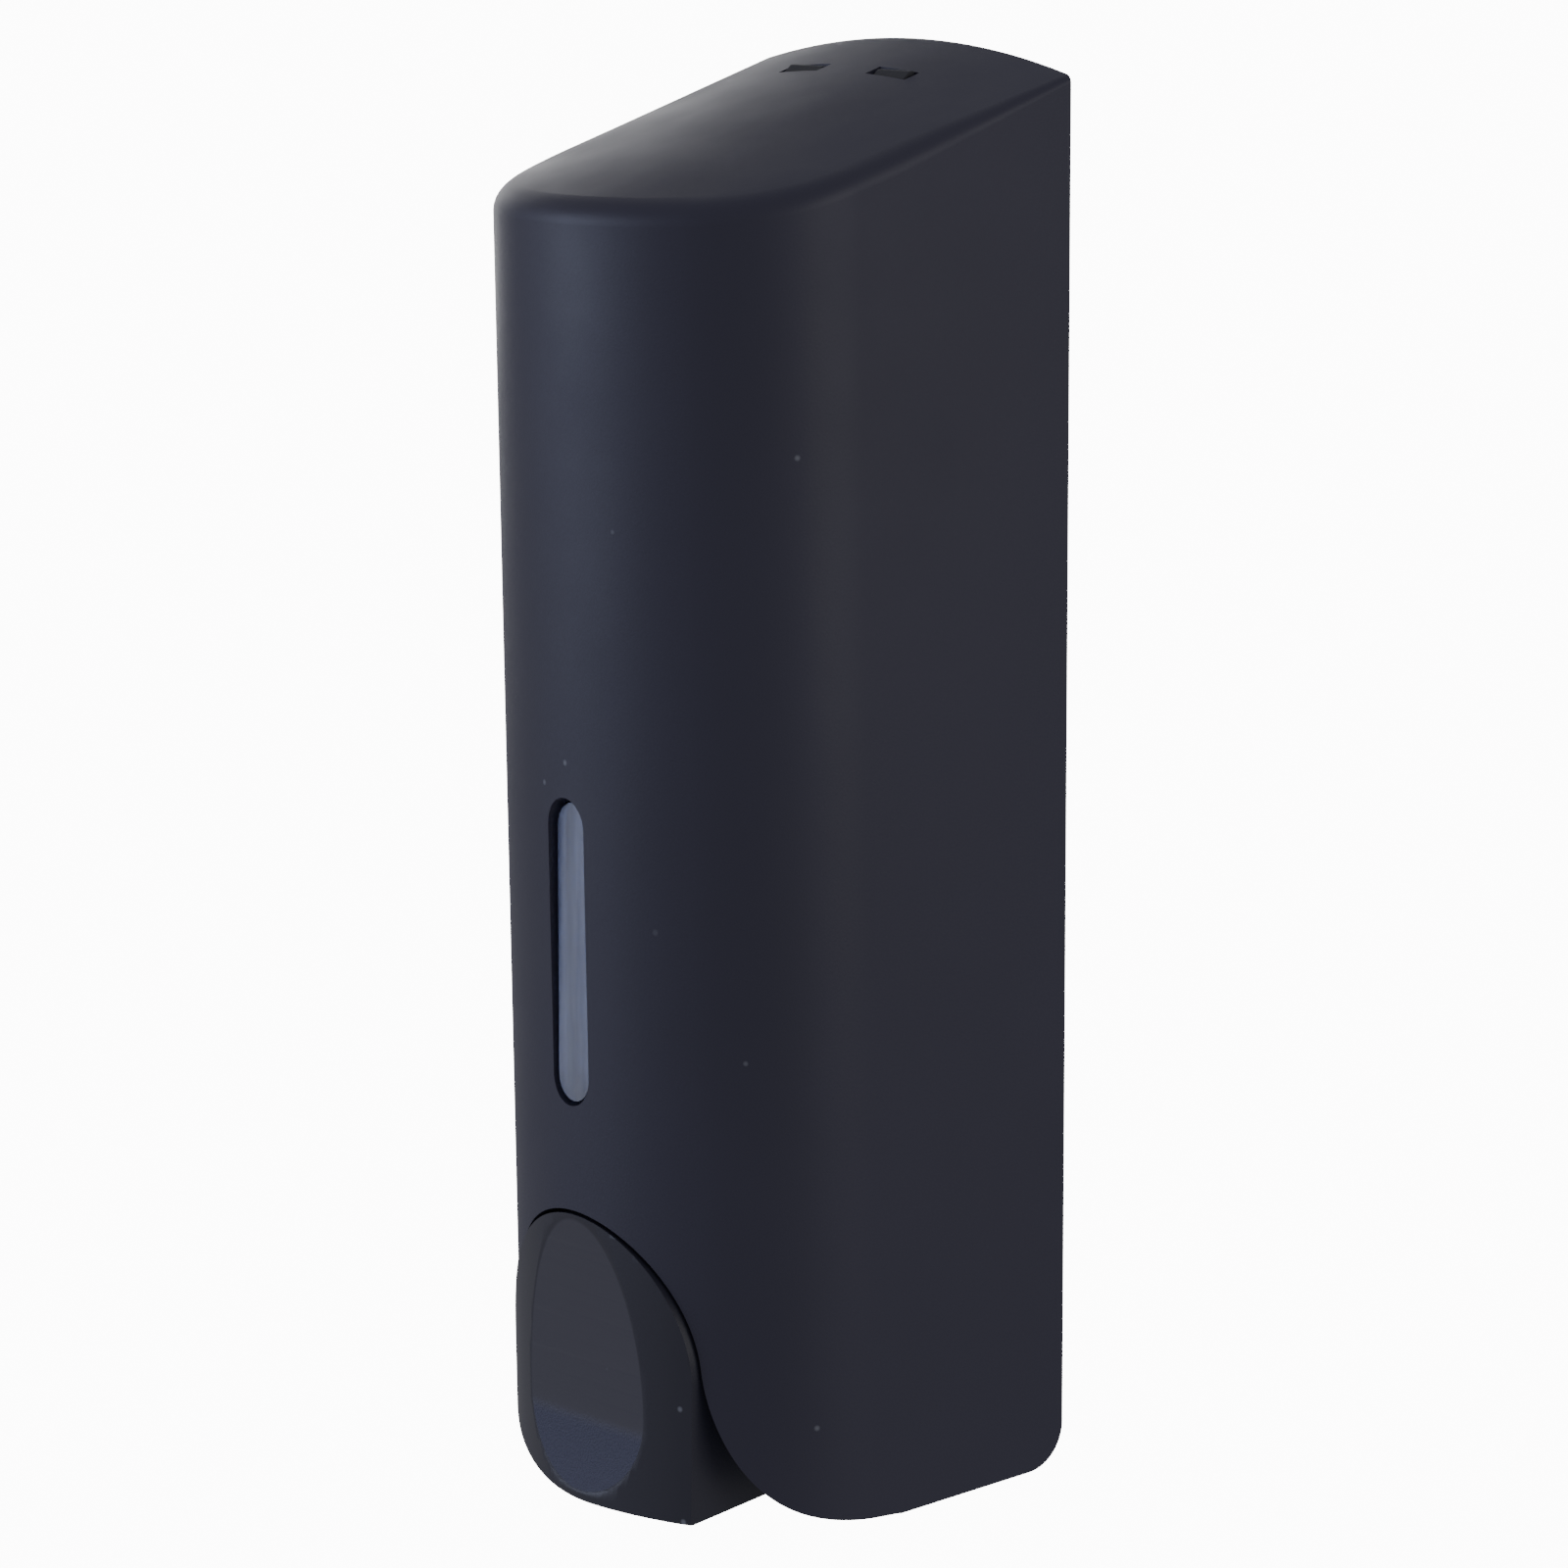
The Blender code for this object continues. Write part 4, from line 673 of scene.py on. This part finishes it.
def tank_plastic():
    """Translucent smoky blue plastic of the reservoir and its sight rib."""
    finish = Finish("tank_plastic", (0.24, 0.28, 0.42), 0.16)
    stretch = finish.add("ShaderNodeMapping")
    stretch.inputs["Scale"].default_value = (1.0, 1.0, 0.12)
    finish.link(finish.where, stretch.inputs["Vector"])
    finish.where = stretch.outputs["Vector"]
    finish.uneven_colour(4.5 * MM, (0.17, 0.20, 0.32), (0.28, 0.33, 0.49))
    finish.uneven_gloss(6 * MM, 0.12, 0.22)
    finish.grain(2.5 * MM, 0.05 * MM, 1.0)
    finish.shader.inputs["Transmission Weight"].default_value = 0.5
    finish.shader.inputs["IOR"].default_value = 1.49
    finish.shader.inputs["Coat Weight"].default_value = 0.3
    finish.shader.inputs["Coat Roughness"].default_value = 0.08
    return finish.material


def moulded(name, first, second, low_gloss, high_gloss, grain_depth=0.015 * MM):
    """A plain moulded plastic or rubber."""
    finish = Finish(name, first, high_gloss)
    finish.uneven_colour(15 * MM, first, second)
    finish.uneven_gloss(8 * MM, low_gloss, high_gloss)
    finish.grain(0.4 * MM, grain_depth)
    return finish.material


def bright_steel():
    finish = Finish("bright_steel", (0.60, 0.60, 0.61), 0.25, 1.0)
    finish.uneven_colour(3 * MM, (0.56, 0.56, 0.57), (0.66, 0.66, 0.67))
    finish.uneven_gloss(1.5 * MM, 0.18, 0.34)
    finish.grain(0.15 * MM, 0.004 * MM)
    return finish.material


COVER_FINISH = satin_cover()
LEVER_FINISH = lever_plastic()
PLATE_FINISH = plate_plastic()
TANK_FINISH = tank_plastic()
PUMP_FINISH = moulded("pump_white_plastic", (0.74, 0.74, 0.72), (0.80, 0.80, 0.78), 0.32, 0.44)
PISTON_FINISH = moulded("piston_grey_plastic", (0.30, 0.31, 0.34), (0.34, 0.35, 0.38), 0.30, 0.42)
SEAL_FINISH = moulded("seal_rubber", (0.018, 0.018, 0.019), (0.026, 0.026, 0.027), 0.60, 0.78, 0.03 * MM)
VALVE_FINISH = moulded("valve_silicone", (0.76, 0.74, 0.70), (0.82, 0.80, 0.76), 0.40, 0.52)
STEEL_FINISH = bright_steel()


def finished(obj, node, body, material):
    """Gives a piece its finish and its place in the frame."""
    obj.data.materials.clear()
    obj.data.materials.append(material)
    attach(obj, body)
    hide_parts(node)
    return obj


# ---------------------------------------------------------------- cover


def make_cover():
    low = LEVER_FOOT - 4 * MARGIN
    cover = roofed_form("cover_shell", 0.0, 0.0, low, 0.0)
    cut(cover, roofed_form("cover_hollow", COVER_WALL, ROOF_WALL, low - MARGIN, -MARGIN))
    cut(cover, pulled_outline("under_cover", foot_outline(), "X", (-WIDTH, WIDTH)))
    cut(cover, pulled_outline("lever_opening", opening_outline(), "Y", (OPENING_BACK, FAR)))
    slot = slot_outline(SLOT_RADIUS, SLOT_LOW, SLOT_HIGH)
    cut(cover, pulled_outline("window_slot", slot, "Y", (OPENING_BACK, FAR)))
    inner = HALF - COVER_WALL
    for side in (-1, 1):
        middle = side * LATCH_SPACING / 2
        x = (middle - LATCH_HOLE_WIDTH / 2, middle + LATCH_HOLE_WIDTH / 2)
        depth = (LATCH_HOLE_BACK, LATCH_HOLE_BACK + LATCH_HOLE_DEPTH)
        height = (SIDE_HEIGHT - LATCH_HOLE_REACH, SIDE_HEIGHT + LATCH_HOLE_REACH)
        cut(cover, block("latch_hole", x, depth, height))
        boss = side * (inner - (HINGE_BOSS_LENGTH - OVERLAP) / 2)
        centre = (boss, HINGE_DEPTH, HINGE_HEIGHT)
        join(cover, round_bar("hinge_boss", centre, HINGE_BOSS_RADIUS, HINGE_BOSS_LENGTH + OVERLAP))
        bore_end = inner - HINGE_BORE_FLOOR
        bore_start = inner - HINGE_BOSS_LENGTH - MARGIN
        centre = (side * (bore_end + bore_start) / 2, HINGE_DEPTH, HINGE_HEIGHT)
        cut(cover, round_bar("hinge_bore", centre, HINGE_BORE, bore_end - bore_start))
        x = (side * COVER_EAR_OFFSET - EAR_WIDTH / 2, side * COVER_EAR_OFFSET + EAR_WIDTH / 2)
        depth = (PIN_DEPTH - COVER_EAR_LENGTH / 2, ear_reach())
        height = (PIN_HEIGHT - COVER_EAR_HEIGHT / 2, PIN_HEIGHT + COVER_EAR_HEIGHT / 2)
        join(cover, block("pin_ear", x, depth, height))
    bore_length = 2 * COVER_EAR_OFFSET + PIN_BORE_EXTRA
    cut(cover, round_bar("pin_bore", (0.0, PIN_DEPTH, PIN_HEIGHT), PIN_BORE, bore_length))
    break_edges(cover, EDGE_BEVEL, merge_flats=False)
    return finished(cover, "front_cover", "cover", COVER_FINISH)


def ear_reach():
    """How far out the inside of the cover reaches where the pin's ears stand."""
    x = COVER_EAR_OFFSET - EAR_WIDTH / 2
    centre_x = HALF - SIDE_TAPER - CORNER_RADIUS
    front_centre = front_depth(PIN_HEIGHT) - FRONT_RADIUS
    corner_centre = front_centre + math.sqrt((FRONT_RADIUS - CORNER_RADIUS) ** 2 - centre_x**2)
    on_front = front_centre + math.sqrt((FRONT_RADIUS - COVER_WALL) ** 2 - x**2)
    on_corner = corner_centre + math.sqrt((CORNER_RADIUS - COVER_WALL) ** 2 - (x - centre_x) ** 2)
    return min(on_front, on_corner) + OVERLAP


# ---------------------------------------------------------------- lever


def make_lever():
    top = ARCH_CENTRE_HEIGHT + ARCH_RADIUS
    low = LEVER_FOOT - MARGIN
    lever = lever_form("lever_shell", 0.0, (low, top))
    outline = pulled_outline("lever_outline", lever_outline(0.0), "Y", (LEVER_BACK, FAR))
    combine(lever, outline, "INTERSECT")
    hollow = lever_form("lever_hollow", LEVER_FRONT_WALL, (low - MARGIN, top))
    inside = pulled_outline("lever_inside", lever_outline(LEVER_WALL), "Y", (LEVER_BACK - MARGIN, FAR))
    combine(hollow, inside, "INTERSECT")
    cut(lever, hollow)
    lip = (LEVER_LIP_LEFT, LEVER_LEFT_RUN - LEVER_RADIUS + MARGIN)
    cut(lever, block("pump_room", lip, (LEVER_BACK - MARGIN, LEVER_LIP_BACK), (low, LEVER_LEFT_RISE)))
    for side in (-1, 1):
        x = (side * LEVER_EAR_OFFSET - EAR_WIDTH / 2, side * LEVER_EAR_OFFSET + EAR_WIDTH / 2)
        reach = front_depth(PIN_HEIGHT) - LEVER_FRONT_WALL + OVERLAP
        depth = (PIN_DEPTH - LEVER_EAR_LENGTH / 2, reach)
        join(lever, block("lever_ear", x, depth, (LEVER_EAR_FOOT, LEVER_EAR_TOP)))
    x = (-PUSHER / 2, PUSHER / 2)
    depth = (PUSHER_BACK, front_depth(PUSHER_HEIGHT) - LEVER_FRONT_WALL + OVERLAP)
    height = (PUSHER_HEIGHT - PUSHER / 2, PUSHER_HEIGHT + PUSHER / 2)
    join(lever, block("pusher", x, depth, height))
    cut(lever, round_bar("lever_bore", (0.0, PIN_DEPTH, PIN_HEIGHT), PIN_BORE, 2 * LEVER_RADIUS))
    cut(lever, pulled_outline("under_lever", flank_outline(), "X", (-WIDTH, WIDTH)))
    cut(lever, pulled_outline("pad_scoop", pad_outline(), "X", (-WIDTH, WIDTH)))
    break_edges(lever, EDGE_BEVEL, angle=LEVER_EDGE_ANGLE, merge_flats=False)
    return finished(lever, "push_lever", "lever", LEVER_FINISH)


# ---------------------------------------------------------------- plate, latches, tank and pump


BODY_OF = {}
for body, empty in frame["bodies"].items():
    for node in empty.children:
        BODY_OF[node.name] = body


def refined(node, name, width, material, slot):
    """A merged copy of a CAD piece with its edges broken."""
    original = frame["nodes"][node]
    body = BODY_OF[node]
    obj = bpy.data.objects.new(name, original.data.copy())
    bpy.context.scene.collection.objects.link(obj)
    break_edges(obj, width)
    return finished(obj, node, body, material)


def painted(node, material):
    """A CAD piece that is shown as it is, with its finish."""
    obj = frame["nodes"][node]
    obj.data.materials.clear()
    obj.data.materials.append(material)


INSIDE = (
    ("back_plate", "mounting_plate", 0.25 * MM, PLATE_FINISH, "plate_black"),
    ("latch_left", "latch_tongue_left", 0.2 * MM, PLATE_FINISH, "plate_black"),
    ("latch_right", "latch_tongue_right", 0.2 * MM, PLATE_FINISH, "plate_black"),
    ("reservoir", "soap_tank", 0.25 * MM, TANK_FINISH, "clear_tank"),
    ("reservoir_lid", "tank_lid", 0.25 * MM, TANK_FINISH, "clear_tank"),
    ("pump_body", "pump_housing", 0.25 * MM, PUMP_FINISH, "pump_white"),
    ("pump_cap", "pump_front_cap", 0.25 * MM, PUMP_FINISH, "pump_white"),
    ("piston", "pump_piston", 0.15 * MM, PISTON_FINISH, "piston_grey"),
    ("nozzle_cap", "outlet_cap", 0.2 * MM, PUMP_FINISH, "pump_white"),
    ("lever_pin", "lever_axle", 0.2 * MM, STEEL_FINISH, "steel"),
    ("cover_pin_left", "hinge_pin_left", 0.2 * MM, STEEL_FINISH, "steel"),
    ("cover_pin_right", "hinge_pin_right", 0.2 * MM, STEEL_FINISH, "steel"),
    ("pump_screw_left", "flange_screw_left", 0.12 * MM, STEEL_FINISH, "steel"),
    ("pump_screw_right", "flange_screw_right", 0.12 * MM, STEEL_FINISH, "steel"),
)


# ---------------------------------------------------------------- floor, lights and camera


AMBIENT = 0.32
BACKDROP = 12.0
FLOOR_SIZE = 40.0
FLOOR_HEIGHT = -0.45
LIGHTS_AIM = (0.0, -0.024, 0.0)
CAMERA_PLACE = (0.7485, -0.5992, 0.1443)
CAMERA_AIM = (0.0, -0.02398, -0.0014)
CAMERA_LENS = 149.1
LIGHTS = (
    ("key_softbox", (-0.80, -1.05, 0.25), 0.8, 5.2, (0.66, 0.74, 1.0)),
    ("fill_softbox", (1.15, 0.25, 0.30), 0.8, 2.6, (1.0, 0.98, 0.95)),
    ("rim_softbox", (-1.00, 0.35, 0.20), 0.5, 2.0, (1.0, 1.0, 1.0)),
    ("top_softbox", (-0.30, 0.20, 1.05), 0.7, 0.2, (0.85, 0.9, 1.0)),
)


def aimed(obj, place_of, aim):
    """Puts a lamp or a camera in its place, turned towards a point."""
    obj.location = place_of
    obj.rotation_euler = (Vector(aim) - Vector(place_of)).to_track_quat("-Z", "Y").to_euler()
    bpy.context.scene.collection.objects.link(obj)


def make_floor():
    """A pale floor well under the dispenser: it shows, and gives no light back."""
    deselect()
    bpy.ops.mesh.primitive_plane_add(size=FLOOR_SIZE, location=(0.0, 0.0, FLOOR_HEIGHT))
    floor = bpy.context.object
    floor.name = "studio_floor"
    floor.visible_diffuse = False
    floor.visible_glossy = False
    paint = Finish("floor_paint", (0.86, 0.86, 0.87), 0.8)
    paint.uneven_colour(0.4, (0.85, 0.85, 0.86), (0.88, 0.88, 0.89))
    paint.shader.inputs["Emission Color"].default_value = (1.0, 1.0, 1.0, 1.0)
    paint.shader.inputs["Emission Strength"].default_value = BACKDROP
    floor.data.materials.append(paint.material)


def make_world():
    """Dim light from all around, behind a white backdrop that only the camera sees."""
    world = bpy.data.worlds.new("studio")
    world.use_nodes = True
    nodes, links = world.node_tree.nodes, world.node_tree.links
    sky = nodes["Background"]
    sky.inputs["Color"].default_value = (0.95, 0.95, 1.0, 1.0)
    sky.inputs["Strength"].default_value = AMBIENT
    backdrop = nodes.new("ShaderNodeBackground")
    backdrop.inputs["Strength"].default_value = BACKDROP
    rays = nodes.new("ShaderNodeLightPath")
    mix = nodes.new("ShaderNodeMixShader")
    links.new(rays.outputs["Is Camera Ray"], mix.inputs["Fac"])
    links.new(sky.outputs["Background"], mix.inputs[1])
    links.new(backdrop.outputs["Background"], mix.inputs[2])
    links.new(mix.outputs["Shader"], nodes["World Output"].inputs["Surface"])
    bpy.context.scene.world = world


def make_lights():
    for name, where, size, power, colour in LIGHTS:
        lamp = bpy.data.lights.new(name, "AREA")
        lamp.shape = "SQUARE"
        lamp.size = size
        lamp.energy = power
        lamp.color = colour
        aimed(bpy.data.objects.new(name, lamp), where, LIGHTS_AIM)


def make_camera():
    camera = bpy.data.cameras.new("camera")
    camera.lens = CAMERA_LENS
    camera.sensor_width = 36.0
    camera.clip_start = 0.01
    obj = bpy.data.objects.new("camera", camera)
    aimed(obj, CAMERA_PLACE, CAMERA_AIM)
    bpy.context.scene.camera = obj


make_cover()
make_lever()
for row in INSIDE:
    refined(*row)
for steel_piece in ("pump_spring", "inlet_spring", "inlet_ball"):
    painted(steel_piece, STEEL_FINISH)
painted("inlet_seat", PUMP_FINISH)
painted("piston_seal", SEAL_FINISH)
painted("reservoir_gasket", SEAL_FINISH)
painted("nozzle_valve", VALVE_FINISH)
make_floor()
make_world()
make_lights()
make_camera()
